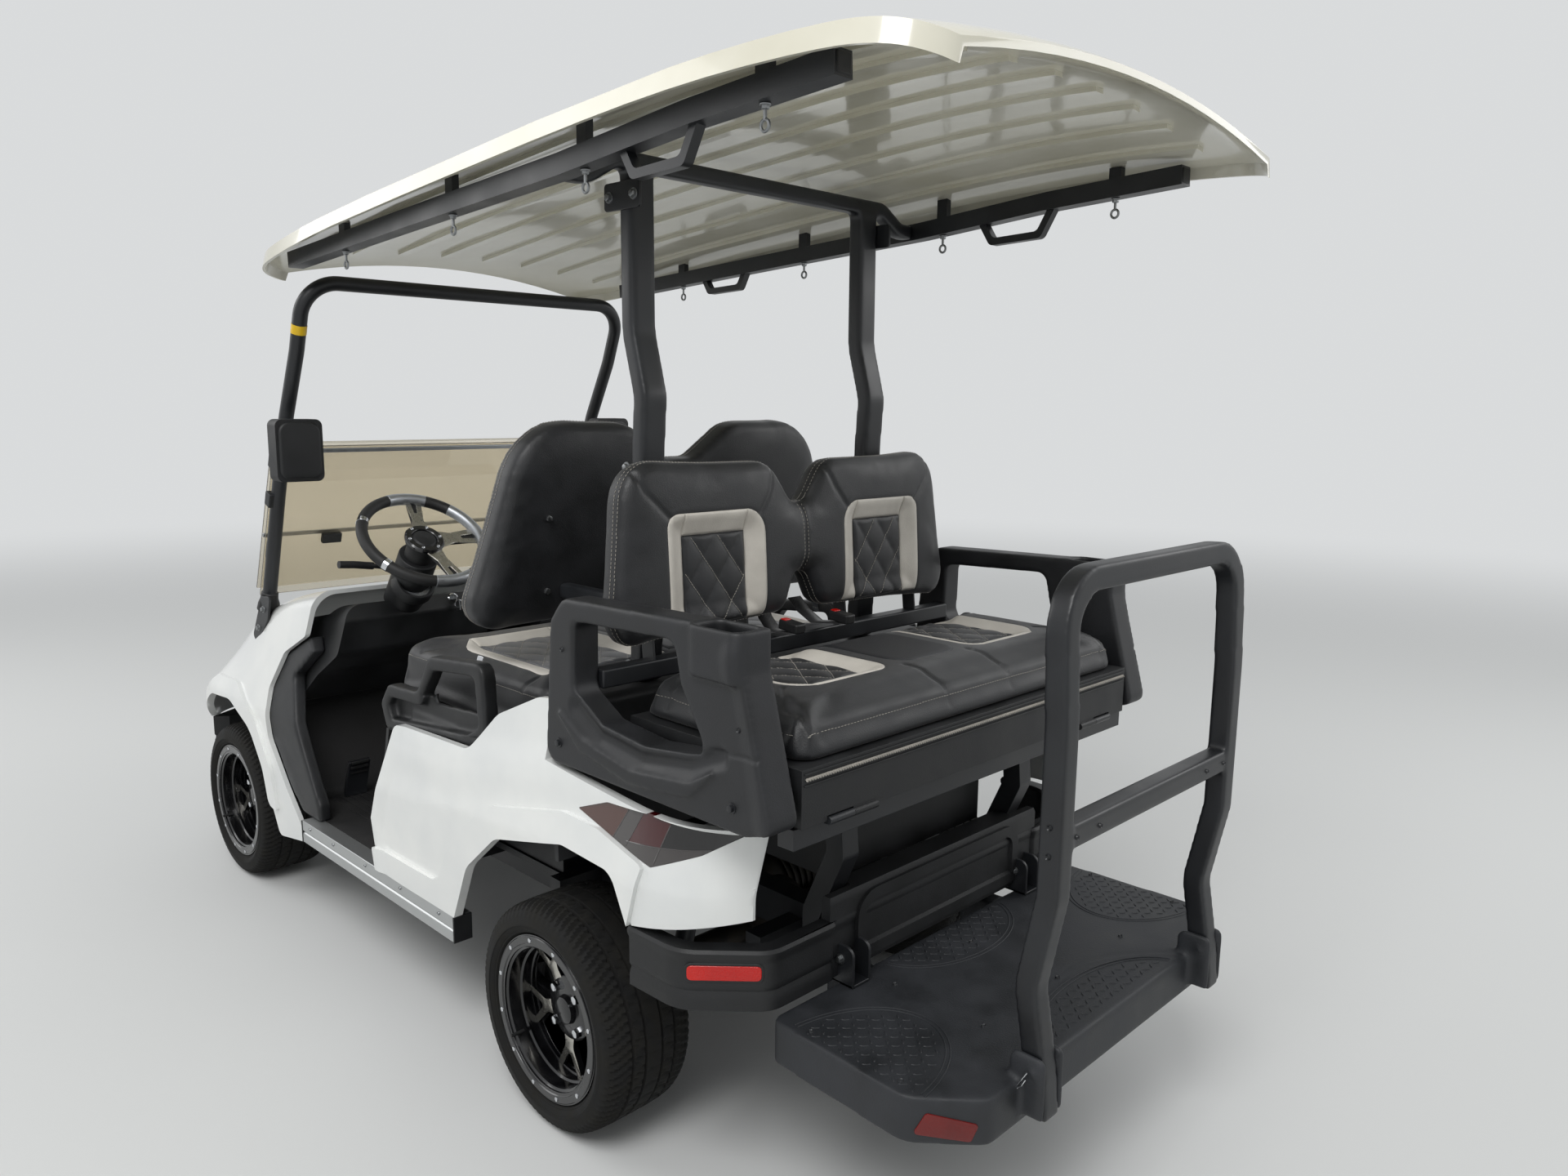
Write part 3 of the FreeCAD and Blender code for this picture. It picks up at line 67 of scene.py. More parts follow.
def makeCamera():
    data = bpy.data.cameras.new("camera")
    data.lens = camera["lens"]
    data.sensor_width = 36
    data.clip_start = 0.05
    data.clip_end = 100
    eye = placed("camera", data)
    yaw, pitch = math.radians(camera["heading"]), math.radians(camera["pitch"])
    ahead = Vector((math.cos(yaw) * math.cos(pitch), math.sin(yaw) * math.cos(pitch), math.sin(pitch)))
    right = ahead.cross(Vector((0, 0, 1))).normalized()
    up = right.cross(ahead)
    roll = math.radians(camera["roll"])
    rolledRight = right * math.cos(roll) + up * math.sin(roll)
    rolledUp = up * math.cos(roll) - right * math.sin(roll)
    turn = Matrix((rolledRight, rolledUp, -ahead)).transposed()
    eye.matrix_world = Matrix.Translation(camera["place"]) @ turn.to_4x4()
    bpy.context.scene.camera = eye


# Materials: one function adds a node, patterns are scaled from real sizes in millimetres

finishes = {}
waveTurns = 6.3  # a wave texture's bands to one unit of its scale


def hexColour(text):
    parts = [int(text[i:i + 2], 16) / 255 for i in (1, 3, 5)]
    return [p / 12.92 if p <= 0.04045 else ((p + 0.055) / 1.055) ** 2.4 for p in parts] + [1.0]


def addNode(tree, kind, inputs=None, **settings):
    node = tree.nodes.new("ShaderNode" + kind)
    for name, value in settings.items():
        setattr(node, name, value)
    for name, value in (inputs or {}).items():
        if isinstance(value, bpy.types.NodeSocket):
            tree.links.new(value, node.inputs[name])
        else:
            node.inputs[name].default_value = value
    return node


def perSize(millimetres):
    return 1000 / millimetres


def startFinish(name, colour, roughness, **sockets):
    material = bpy.data.materials.new(name)
    material.use_nodes = True
    finishes[name] = material
    tree = material.node_tree
    shader = tree.nodes["Principled BSDF"]
    shader.inputs["Base Color"].default_value = hexColour(colour)
    shader.inputs["Roughness"].default_value = roughness
    for socket, value in sockets.items():
        shader.inputs[socket.replace("_", " ")].default_value = value
    return tree, shader, addNode(tree, "TexCoord").outputs["Object"]


def noise(tree, place, sizeMm, detail):
    lumps = addNode(tree, "TexNoise", {"Vector": place, "Scale": perSize(sizeMm), "Detail": detail})
    return lumps.outputs["Fac"]


# Lets a pattern set the roughness, between two values
def glossBy(tree, shader, value, low, high, start=0.0, end=1.0):
    span = addNode(tree, "MapRange", {"Value": value, "From Min": start, "From Max": end,
                                      "To Min": low, "To Max": high})
    tree.links.new(span.outputs["Result"], shader.inputs["Roughness"])


# A patchy change between two tones, and a patchy change of gloss
def patches(tree, shader, place, tones, sizeMm, gloss, detail=4.0):
    lumps = noise(tree, place, sizeMm, detail)
    ramp = addNode(tree, "ValToRGB", {"Fac": lumps})
    ramp.color_ramp.elements[0].position = 0.35
    ramp.color_ramp.elements[1].position = 0.65
    for element, tone in zip(ramp.color_ramp.elements, tones):
        element.color = hexColour(tone)
    tree.links.new(ramp.outputs["Color"], shader.inputs["Base Color"])
    glossBy(tree, shader, lumps, *gloss, 0.3, 0.7)


def bumps(tree, shader, height, strength, depthMm):
    bump = addNode(tree, "Bump", {"Height": height, "Strength": strength, "Distance": depthMm / 1000})
    tree.links.new(bump.outputs["Normal"], shader.inputs["Normal"])


# Paint, powder, rubber, iron: tones in patches, and over them a fine peel or grit, which is given as
# its size in millimetres, detail, strength and depth
def coated(name, colour, roughness, tones, patchMm, gloss, detail=4.0, peel=None, **sockets):
    tree, shader, place = startFinish(name, colour, roughness, **sockets)
    patches(tree, shader, place, tones, patchMm, gloss, detail)
    if peel:
        bumps(tree, shader, noise(tree, place, *peel[:2]), *peel[2:])


# Moulded polypropylene with a pebbled grain, greyer where hands and shoes rub it
def grainedPlastic(name, tones, grainMm, gloss, depth=0.35):
    tree, shader, place = startFinish(name, tones[0], gloss[0])
    patches(tree, shader, place, tones, 90, gloss, 6.0)
    grain = addNode(tree, "TexVoronoi", {"Vector": place, "Scale": perSize(grainMm)}, feature="SMOOTH_F1")
    bumps(tree, shader, grain.outputs["Distance"], depth, 0.5)


# Embossed marine vinyl: small leather cells, drawn near 2 mm so that they show
def seatVinyl(name, tones, sheen=0.15):
    tree, shader, place = startFinish(name, tones[0], 0.5, Sheen_Weight=sheen, Sheen_Roughness=0.4)
    patches(tree, shader, place, tones, 70, (0.4, 0.56), 5.0)
    cells = addNode(tree, "TexVoronoi", {"Vector": place, "Scale": perSize(2.2), "Randomness": 0.9})
    folds = noise(tree, place, 26, 5.0)
    both = addNode(tree, "Math", {0: cells.outputs["Distance"], 1: folds}, operation="ADD")
    bumps(tree, shader, both.outputs["Value"], 0.3, 0.8)


# The same vinyl pierced with rows of small holes, 4.5 mm apart
def piercedVinyl():
    tree, shader, place = startFinish("piercedVinyl", "#1b1c1f", 0.5)
    spots = addNode(tree, "TexVoronoi", {"Vector": place, "Scale": perSize(4.5), "Randomness": 0.0})
    holes = addNode(tree, "MapRange", {"Value": spots.outputs["Distance"], "From Min": 0.16,
                                       "From Max": 0.3})
    tone = addNode(tree, "ValToRGB", {"Fac": holes.outputs["Result"]})
    tone.color_ramp.elements[0].color = hexColour("#050505")
    tone.color_ramp.elements[1].color = hexColour("#1e1f22")
    tree.links.new(tone.outputs["Color"], shader.inputs["Base Color"])
    bumps(tree, shader, holes.outputs["Result"], 0.6, 0.8)


# Tinted cast acrylic: smoky brown, clear enough to see through
def smokedAcrylic():
    tree, shader, place = startFinish("smokedAcrylic", "#efe8d8", 0.04, IOR=1.49, Transmission_Weight=0.94)
    glossBy(tree, shader, noise(tree, place, 60, 6.0), 0.02, 0.06, 0.4, 0.75)


# Brushed and anodised aluminium: fine lines along the cart
def brushedAluminium():
    tree, shader, place = startFinish("brushedAluminium", "#b9bbbb", 0.34, Metallic=0.85)
    stretched = addNode(tree, "Mapping", {"Vector": place, "Scale": (0.02, 1.0, 1.0)})
    lines = noise(tree, stretched.outputs["Vector"], 1.2, 3.0)
    glossBy(tree, shader, lines, 0.26, 0.48)
    bumps(tree, shader, lines, 0.12, 0.2)


# Bright metal: chrome plate, or a face cut bright on a lathe
def brightMetal(name, colour, roughness):
    tree, shader, place = startFinish(name, colour, roughness, Metallic=1.0)
    glossBy(tree, shader, noise(tree, place, 18, 4.0), roughness * 0.6, roughness * 1.7)


# Moulded acrylic lens, coloured in the mass, ribbed inside
def lampLens(name, colour, clearness):
    tree, shader, place = startFinish(name, colour, 0.06, IOR=1.49, Coat_Weight=1.0, Coat_Roughness=0.02,
                                      Transmission_Weight=clearness)
    ribs = addNode(tree, "TexWave", {"Vector": place, "Scale": perSize(9) / waveTurns, "Distortion": 0.0},
                   bands_direction="X")
    bumps(tree, shader, ribs.outputs["Fac"], 0.12, 0.6)


# Woven polyester webbing: ribs across the belt
def beltWebbing():
    tree, shader, place = startFinish("beltWebbing", "#141416", 0.75, Sheen_Weight=0.3)
    weave = addNode(tree, "TexWave", {"Vector": place, "Scale": perSize(2.4) / waveTurns,
                                      "Distortion": 0.4}, bands_direction="DIAGONAL")
    bumps(tree, shader, weave.outputs["Fac"], 0.5, 0.6)


# Pearl acrylic under clear coat; satin powder on steel; gel coat; wheel enamel; dusty rubber; dusty iron
coated("pearlPaint", "#e7e8e6", 0.32, ("#dfe1e0", "#ebece9"), 240, (0.28, 0.38), peel=(7, 2.0, 0.05, 1.0),
       Coat_Weight=0.7, Coat_Roughness=0.06, Metallic=0.08)
coated("powderCoat", "#191a1d", 0.42, ("#141518", "#1f2124"), 140, (0.34, 0.5),
       peel=(2.2, 3.0, 0.22, 0.4), Specular_IOR_Level=0.5)
coated("creamGelcoat", "#d8d5c6", 0.16, ("#cbc7b4", "#dad7c8"), 320, (0.12, 0.2),
       peel=(30, 1.0, 0.05, 1.0), Coat_Weight=0.5, Coat_Roughness=0.05)
coated("glossBlack", "#0b0b0d", 0.2, ("#08080a", "#121214"), 45, (0.16, 0.28), Coat_Weight=0.5,
       Coat_Roughness=0.06)
coated("tyreRubber", "#141414", 0.82, ("#111111", "#1b1a17"), 38, (0.76, 0.92), 6.0,
       peel=(2.5, 4.0, 0.35, 0.5), Specular_IOR_Level=0.3)
coated("greasyIron", "#2a2927", 0.6, ("#242321", "#3a352e"), 35, (0.45, 0.75), 6.0,
       peel=(3, 5.0, 0.4, 0.6), Metallic=0.55)

# Tones, size of the grain, gloss and, where it isn't the usual one, depth
plastics = {
    "blackMoulding": (("#0d0e0f", "#17181a"), 1.8, (0.46, 0.62)),
    "greyMoulding": (("#131416", "#1d1e21"), 2.0, (0.44, 0.58)),
    "treadMoulding": (("#1b1d20", "#292b2f"), 2.4, (0.5, 0.68), 0.5),
    "floorMat": (("#121213", "#1c1b1b"), 3.0, (0.7, 0.85), 0.6),
    "batteryCase": (("#101114", "#1d1f24"), 2.5, (0.4, 0.55)),
    "gripRubber": (("#0f0f10", "#191919"), 1.2, (0.5, 0.62)),
    "redReflector": (("#b5140e", "#c81c12"), 3.0, (0.18, 0.24), 0.8),
    "darkRedReflector": (("#5e0f0c", "#701410"), 3.0, (0.15, 0.24), 0.6),
    "yellowTape": (("#d2a812", "#e0b81c"), 4.0, (0.35, 0.45), 0.1),
}
vinyls = {
    "seatVinyl": (("#101113", "#18191c"), 0.15), "greyVinyl": (("#bfbab1", "#cdc8bf"), 0.05),
    "charcoalVinyl": (("#4a4b4d", "#56575a"), 0.1), "paleThread": (("#8e8a82", "#a19c93"), 0.2),
}
metals = {
    "silverPaint": ("#a9acb0", 0.38), "chromePlate": ("#d5d7da", 0.08), "machinedAlloy": ("#c3c0b8", 0.24),
    "zincScrew": ("#8d8f90", 0.35), "mirrorGlass": ("#dfe3e6", 0.02),
}
# the pale hazed grey lens is the headlamps' real cover, and on the tail lamps it is painted highlight
lenses = {
    "amberLens": ("#4a1e0d", 0.2), "darkRedLens": ("#44080d", 0.2), "clearLens": ("#c9ced2", 0.8),
    "hazedLens": ("#484342", 0.3), "smokeLens": ("#0c090a", 0.2),
}
for make, rows in ((grainedPlastic, plastics), (seatVinyl, vinyls), (brightMetal, metals),
                   (lampLens, lenses)):
    for name, row in rows.items():
        make(name, *row)
piercedVinyl()
smokedAcrylic()
brushedAluminium()
beltWebbing()

# Making pieces

sharpAngle = 32  # degrees between faces, from which an edge is a real one
weldGap = 0.00002
tiny = 1e-6

def everyPart(bm):
    return bm.verts[:] + bm.edges[:] + bm.faces[:]


def shift(bm, way):
    bmesh.ops.translate(bm, verts=bm.verts, vec=way)


def relax(bm):
    bmesh.ops.smooth_vert(bm, verts=bm.verts, factor=0.5, use_axis_x=True, use_axis_y=True,
                          use_axis_z=True)


def slotOf(node):
    return next(s["material_slot"] for s in frame["record"]["subparts"] if s["node"] == node)


def bodyOf(node):
    return next(name for name, nodes in frame["record"]["behaviour"]["bodies"].items() if node in nodes)


# A visible piece. It rides with a CAD node and stands for the nodes in stands.
# crisp is the width that its edges are rounded by
def newPiece(name, bm, node, finish, stands=(), crisp=0.0, segments=2, smooth=True):
    body, slot = bodyOf(node), slotOf(node)
    mesh = bpy.data.meshes.new(name)
    bm.to_mesh(mesh)
    bm.free()
    piece = placed(name, mesh)
    for each in (finish if isinstance(finish, list) else [finish]):
        mesh.materials.append(finishes[each])
    if crisp:
        edge = piece.modifiers.new("edges", "BEVEL")
        edge.width = crisp
        edge.segments = segments
        edge.limit_method = "ANGLE"
        edge.angle_limit = math.radians(sharpAngle)
    if smooth:
        smoothByAngle(piece)
    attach(piece, body)
    if stands:
        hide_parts(*stands)
    return piece


def smoothByAngle(piece, degrees=sharpAngle):
    mesh = piece.data
    mesh.polygons.foreach_set("use_smooth", [True] * len(mesh.polygons))
    bm = bmesh.new()
    bm.from_mesh(mesh)
    for edge in bm.edges:
        if len(edge.link_faces) == 2:
            edge.smooth = edge.calc_face_angle() < math.radians(degrees)
    bm.to_mesh(mesh)
    bm.free()


# A CAD solid's copy, welded, its flat faces joined again, ready to be rounded at its edges
def weldedCopy(node):
    bm = bmesh.new()
    bm.from_mesh(frame["nodes"][node].data)
    bmesh.ops.remove_doubles(bm, verts=bm.verts, dist=weldGap)
    bmesh.ops.dissolve_limit(bm, angle_limit=math.radians(1.0), verts=bm.verts, edges=bm.edges)
    return bm


# Solids that show as they are, their edges rounded: finish and width
solids = {
    "chassis_frame": ("powderCoat", 0.003),
    "rear_axle": ("greasyIron", 0.003),
    "rear_suspension": ("powderCoat", 0.002),
    "floor_pan": ("floorMat", 0.002),
    "sill_panels": ("brushedAluminium", 0.0012),
    "seat_base": ("blackMoulding", 0.003),
    "battery_pack": ("batteryCase", 0.004),
    "rear_seat_frame": ("powderCoat", 0.003),
    "storage_box": ("blackMoulding", 0.006),
    "front_cowl": ("pearlPaint", 0.003),
    "dashboard": ("blackMoulding", 0.004),
    "front_hoop": ("powderCoat", 0.0015),
    "roof_rails": ("powderCoat", 0.003),
    "roof_canopy": ("creamGelcoat", 0.003),
    "windshield_lower": ("smokedAcrylic", 0.0008),
    "mirrors": ("blackMoulding", 0.003),
    "steering_column": ("blackMoulding", 0.003),
    "front_suspension": ("powderCoat", 0.002),
    "pedals": ("powderCoat", 0.002),
    "cargo_deck": ("blackMoulding", 0.006),
    "windshield_upper": ("smokedAcrylic", 0.0008),
    "steering_wheel": ("gripRubber", 0.002),
    "steering_rack": ("greasyIron", 0.001),
    "knuckle_left": ("greasyIron", 0.002),
    "knuckle_right": ("greasyIron", 0.002),
    "rim_front_left": ("glossBlack", 0.001), "rim_front_right": ("glossBlack", 0.001),
    "rim_rear_left": ("glossBlack", 0.001), "rim_rear_right": ("glossBlack", 0.001),
}
for node, (finish, width) in solids.items():
    newPiece(node + "_shell", weldedCopy(node), node, finish, [node], crisp=width)
print("solids rounded")

# Flat shapes and outlines


# A flat outline with rounded corners, pushed out to a solid
def plateShape(corners, radii, push, steps=5):
    bm = bmesh.new()
    verts = [bm.verts.new(corner) for corner in corners]
    bm.faces.new(verts)
    count = len(corners)
    for i, vert in enumerate(verts):
        if radii[i] <= 0:
            continue
        back = Vector(corners[i - 1]) - Vector(corners[i])
        ahead = Vector(corners[(i + 1) % count]) - Vector(corners[i])
        bmesh.ops.bevel(bm, geom=[vert], offset=radii[i] / math.tan(back.angle(ahead) / 2),
                        affect="VERTICES", segments=steps, profile=0.5, material=-1)
    made = bmesh.ops.extrude_face_region(bm, geom=list(bm.faces))
    moved = [g for g in made["geom"] if isinstance(g, bmesh.types.BMVert)]
    bmesh.ops.translate(bm, verts=moved, vec=push)
    bmesh.ops.recalc_face_normals(bm, faces=bm.faces)
    return bm


# Rounds the rims of a plate: the edges lying across its push, on chosen sides
def softenRims(bm, push, width, segments=4, chosen=lambda edge: True):
    along = Vector(push).normalized()
    rims = [e for e in bm.edges if e.calc_length() > 1e-5 and chosen(e)
            and abs((e.verts[0].co - e.verts[1].co).normalized().dot(along)) < 0.5
            and e.calc_face_angle(0) > 0.6]
    bmesh.ops.bevel(bm, geom=rims, offset=width, affect="EDGES", segments=segments, profile=0.5,
                    material=-1)


def easeIn(x, low, high):
    t = min(1, max(0, (x - low) / (high - low)))
    return t * t * (3 - 2 * t)


def distanceToRun(p, points):
    best = 1e9
    for a, b in zip(points, points[1:]):
        run = b - a
        t = min(1, max(0, (p - a).dot(run) / max(run.length_squared, 1e-12)))
        best = min(best, (p - a - run * t).length)
    return best


# What is left of a height at some distance: all of it up to near, none from far on
def fading(height, distance, near, far):
    return height * (1 - easeIn(distance, near, far))


def spanOf(points):
    return (Vector((min(p.x for p in points), min(p.y for p in points))),
            Vector((max(p.x for p in points), max(p.y for p in points))))


# How deep a flat point lies inside a convex outline given anticlockwise; negative outside
def depthInside(p, outline):
    best = 1e9
    for i, a in enumerate(outline):
        run = outline[(i + 1) % len(outline)] - a
        if run.length > tiny:
            best = min(best, (run.x * (p.y - a.y) - run.y * (p.x - a.x)) / run.length)
    return best


# A convex outline with its corners turned to arcs
def softOutline(corners, radii):
    points = [Vector(c) for c in corners]
    steps = 6
    out = []
    for i, corner in enumerate(points):
        if radii[i] <= 0:
            out.append(corner)
            continue
        back = (points[i - 1] - corner).normalized()
        ahead = (points[(i + 1) % len(points)] - corner).normalized()
        half = back.angle(ahead) / 2
        middle = corner + (back + ahead).normalized() * (radii[i] / math.sin(half))
        start = (corner + back * (radii[i] / math.tan(half)) - middle).normalized()
        end = (corner + ahead * (radii[i] / math.tan(half)) - middle).normalized()
        out += [middle + start.slerp(end, k / steps) * radii[i] for k in range(steps + 1)]
    return out


# Fixings, plates and straps, each stood on the cart by a short table


def aimed(place, way):
    return Matrix.Translation(place) @ Vector(way).to_track_quat("Z", "Y").to_matrix().to_4x4()


# A hexagon head with a chamfered top, standing on place and looking along way
def hexHead(bm, place, way, across, tall):
    way = Vector(way).normalized()
    made = bmesh.ops.create_cone(bm, cap_ends=True, segments=6, radius1=across / 2, radius2=across / 2,
                                 depth=tall,
                                 matrix=aimed(place, way) @ Matrix.Translation((0, 0, tall / 2)))
    top = [e for e in {e for v in made["verts"] for e in v.link_edges}
           if all((v.co - Vector(place)).dot(way) > tall / 2 for v in e.verts)]
    bmesh.ops.bevel(bm, geom=top, offset=tall * 0.3, affect="EDGES", segments=2, profile=0.5, material=-1)


# A button head with a socket sunk in it
def screwHead(bm, place, way, across):
    way = Vector(way).normalized()
    r, tall = across / 2, 0.003
    made = bmesh.ops.create_cone(bm, cap_ends=True, segments=16, radius1=r, radius2=r * 0.74, depth=tall,
                                 matrix=aimed(place, way) @ Matrix.Translation((0, 0, tall / 2)))
    bm.normal_update()
    cap = max({f for v in made["verts"] for f in v.link_faces},
              key=lambda f: f.calc_center_median().dot(way))
    bmesh.ops.inset_region(bm, faces=[cap], thickness=r * 0.36)
    bmesh.ops.translate(bm, verts=cap.verts, vec=-way * tall * 0.6)


def washer(bm, place, way, across):
    bmesh.ops.create_cone(bm, cap_ends=True, segments=20, radius1=across / 2, radius2=across * 0.48,
                          depth=0.0018, matrix=aimed(place, way) @ Matrix.Translation((0, 0, 0.0009)))


# Fixings in one piece. Columns: kind, place from the rear axle, the way it looks, size across;
# each row off the middle is set on both sides
def fixings(name, rows, node, finish="zincScrew"):
    bm = bmesh.new()
    for kind, place, way, across in rows:
        for side in ((1, -1) if abs(place[1]) > 0.001 else (1,)):
            at = Vector((rearAxle + place[0], place[1] * side, place[2]))
            looks = Vector((way[0], way[1] * side, way[2])).normalized()
            if kind == "hex":
                washer(bm, at, looks, across * 1.7)
                hexHead(bm, at + looks * 0.0018, looks, across * 1.15, across * 0.5)
            else:
                screwHead(bm, at, looks, across)
    return newPiece(name, bm, node, finish)


def addBox(bm, low, high):
    low, high = Vector(low), Vector(high)
    size = high - low
    return bmesh.ops.create_cube(bm, size=1, matrix=Matrix.Translation((low + high) / 2)
                                 @ Matrix.Diagonal((size.x, size.y, size.z, 1)))["verts"]


# The same again on the cart's other side
def twinned(bm):
    made = bmesh.ops.duplicate(bm, geom=everyPart(bm))["geom"]
    bmesh.ops.scale(bm, verts=[g for g in made if isinstance(g, bmesh.types.BMVert)], vec=(1, -1, 1))
    bmesh.ops.reverse_faces(bm, faces=[g for g in made if isinstance(g, bmesh.types.BMFace)])
    return bm


# Joins plates that were shaped apart into one mesh
def gathered(parts):
    whole = bmesh.new()
    for bm in parts:
        part = bpy.data.meshes.new("part")
        bm.to_mesh(part)
        bm.free()
        whole.from_mesh(part)
        bpy.data.meshes.remove(part)
    whole.normal_update()
    return whole


# A plate in the side view from the rear axle, between two distances to the left
def sidePlate(outline, near, far, radii):
    return plateShape([(rearAxle + x, near, z) for x, z in outline], radii, (0, far - near, 0))


# A strip of webbing or sheet: an edge drawn along points, with a modifier for its thickness
def strap(name, points, across, wide, thick, node, finish):
    bm = bmesh.new()
    half = Vector(across).normalized() * wide / 2
    verts = [bm.verts.new(Vector(points[0]) + half), bm.verts.new(Vector(points[0]) - half)]
    edge = bm.edges.new(verts)
    for a, b in zip(points, points[1:]):
        made = bmesh.ops.extrude_edge_only(bm, edges=[edge])["geom"]
        edge = next(g for g in made if isinstance(g, bmesh.types.BMEdge)
                    and not set(g.verts) & set(edge.verts))
        bmesh.ops.translate(bm, verts=list(edge.verts), vec=Vector(b) - Vector(a))
    piece = newPiece(name, bm, node, finish)
    wall = piece.modifiers.new("thickness", "SOLIDIFY")
    wall.thickness = thick
    wall.offset = 0
    return piece


def treeOf(mesh):
    return BVHTree.FromPolygons([v.co for v in mesh.vertices], [p.vertices for p in mesh.polygons])


# Soft goods: swollen by a cloth simulation, then seamed, panelled and stitched

aloft = 0.3  # how far off a pad the rays start that find its skin
padding = {"cell": 0.010, "pressure": 4.0, "steps": 20, "quality": 3, "puff": 0.006, "share": 0.38}


def applyModifiers(piece):
    bpy.context.view_layer.update()
    solved = piece.evaluated_get(bpy.context.evaluated_depsgraph_get())
    mesh = bpy.data.meshes.new_from_object(solved)
    piece.modifiers.clear()
    piece.data = mesh


# Takes a closed piece into even cells
def cellsOf(piece, size):
    remesh = piece.modifiers.new("cells", "REMESH")
    remesh.mode = "VOXEL"
    remesh.voxel_size = size
    applyModifiers(piece)


def smoothAll(piece):
    piece.data.polygons.foreach_set("use_smooth", [True] * len(piece.data.polygons))
    piece.data.update()


# Swells a closed pad under pressure, a point by no more than most. held(co) says how firmly it
# stays, 0 to 1
def swell(piece, most, held):
    cellsOf(piece, padding["cell"])
    before = [v.co.copy() for v in piece.data.vertices]
    group = piece.vertex_groups.new(name="held")
    for vert in piece.data.vertices:
        group.add([vert.index], held(vert.co), "REPLACE")
    cloth = piece.modifiers.new("cloth", "CLOTH")
    cloth.settings.quality = padding["quality"]
    cloth.settings.use_pressure = True
    cloth.settings.uniform_pressure_force = padding["pressure"]
    cloth.settings.effector_weights.gravity = 0
    cloth.settings.vertex_group_mass = "held"
    cloth.collision_settings.use_collision = False
    scene = bpy.context.scene
    for step in range(1, padding["steps"] + 1):
        scene.frame_set(step)
    applyModifiers(piece)
    scene.frame_set(1)
    piece.vertex_groups.clear()
    for vert, start in zip(piece.data.vertices, before):
        way = vert.co - start
        if way.length > most:
            vert.co = start + way.normalized() * most
    bm = bmesh.new()
    bm.from_mesh(piece.data)
    relax(bm)
    bm.to_mesh(piece.data)
    bm.free()
    rounding = piece.modifiers.new("rounding", "SUBSURF")
    rounding.levels = 1
    rounding.render_levels = 1
    applyModifiers(piece)


# Fewer faces where the surface is calm
def thinned(piece, share):
    thin = piece.modifiers.new("thinned", "DECIMATE")
    thin.ratio = share
    applyModifiers(piece)


# Moves each point of a pad as a rule says
def press(piece, rule):
    normals = [v.normal.copy() for v in piece.data.vertices]
    for vert, normal in zip(piece.data.vertices, normals):
        vert.co += rule(vert.co, normal)
    piece.data.update()


# A sewn panel: a fine grid cut to a convex outline, laid on a pad and puffed out by lift.
# Its flat points are origin + across * u + upward * v, and it faces across x upward.
def sewnPanel(name, pad, origin, across, upward, outline, lift, node, finish, step=0.0052):
    tree = treeOf(pad.data)
    facing = across.cross(upward)
    low, high = spanOf(outline)
    bm = bmesh.new()
    bmesh.ops.create_grid(bm, x_segments=max(2, round((high.x - low.x) / step)),
                          y_segments=max(2, round((high.y - low.y) / step)), size=0.5)
    for vert in bm.verts:
        vert.co = Vector((low.x + (vert.co.x + 0.5) * (high.x - low.x),
                          low.y + (vert.co.y + 0.5) * (high.y - low.y), 0))
    for i, corner in enumerate(outline):
        run = outline[(i + 1) % len(outline)] - corner
        if run.length > tiny:
            bmesh.ops.bisect_plane(bm, geom=everyPart(bm), plane_co=(corner.x, corner.y, 0),
                                   plane_no=(run.y, -run.x, 0), clear_outer=True, dist=tiny)
    for vert in bm.verts:
        u, v = vert.co.x, vert.co.y
        depth = depthInside(Vector((u, v)), outline)
        start = origin + across * u + upward * v + facing * aloft
        spot, normal = tree.ray_cast(start, -facing)[:2]
        if spot is None:
            spot, normal = tree.find_nearest(start - facing * aloft)[:2]
        vert.co = spot + (normal + facing).normalized() * lift(u, v, depth)
    bmesh.ops.recalc_face_normals(bm, faces=bm.faces)
    if sum(f.normal.dot(facing) for f in bm.faces) < 0:
        bmesh.ops.reverse_faces(bm, faces=bm.faces)
    piece = newPiece(name, bm, node, finish)
    wall = piece.modifiers.new("cloth_thickness", "SOLIDIFY")
    wall.thickness = 0.003
    wall.offset = -1
    return piece


thread = {"rise": 0.0005, "size": (0.0046, 0.0009, 0.0009, 1)}


# Thread: short stitches laid end to end along lines that lie on a pad, seen along a direction
def stitched(name, pad, lines, direction, node, pitch=0.0065):
    tree = treeOf(pad.data)
    bm = bmesh.new()
    for line in lines:
        for a, b in zip(line, line[1:]):
            count = max(1, round((b - a).length / pitch))
            for k in range(count):
                at = a.lerp(b, (k + 0.5) / count)
                if direction is None:
                    spot, normal = tree.find_nearest(at)[:2]
                else:
                    spot, normal = tree.ray_cast(at + direction * aloft, -direction)[:2]
                if spot is None:
                    continue
                along = b - a
                along = (along - normal * along.dot(normal)).normalized()
                turn = Matrix((along, normal.cross(along), normal)).transposed().to_4x4()
                place = Matrix.Translation(spot + normal * thread["rise"]) @ turn
                bmesh.ops.create_cube(bm, size=1, matrix=place @ Matrix.Diagonal(thread["size"]))
    return newPiece(name, bm, node, "paleThread", smooth=False)


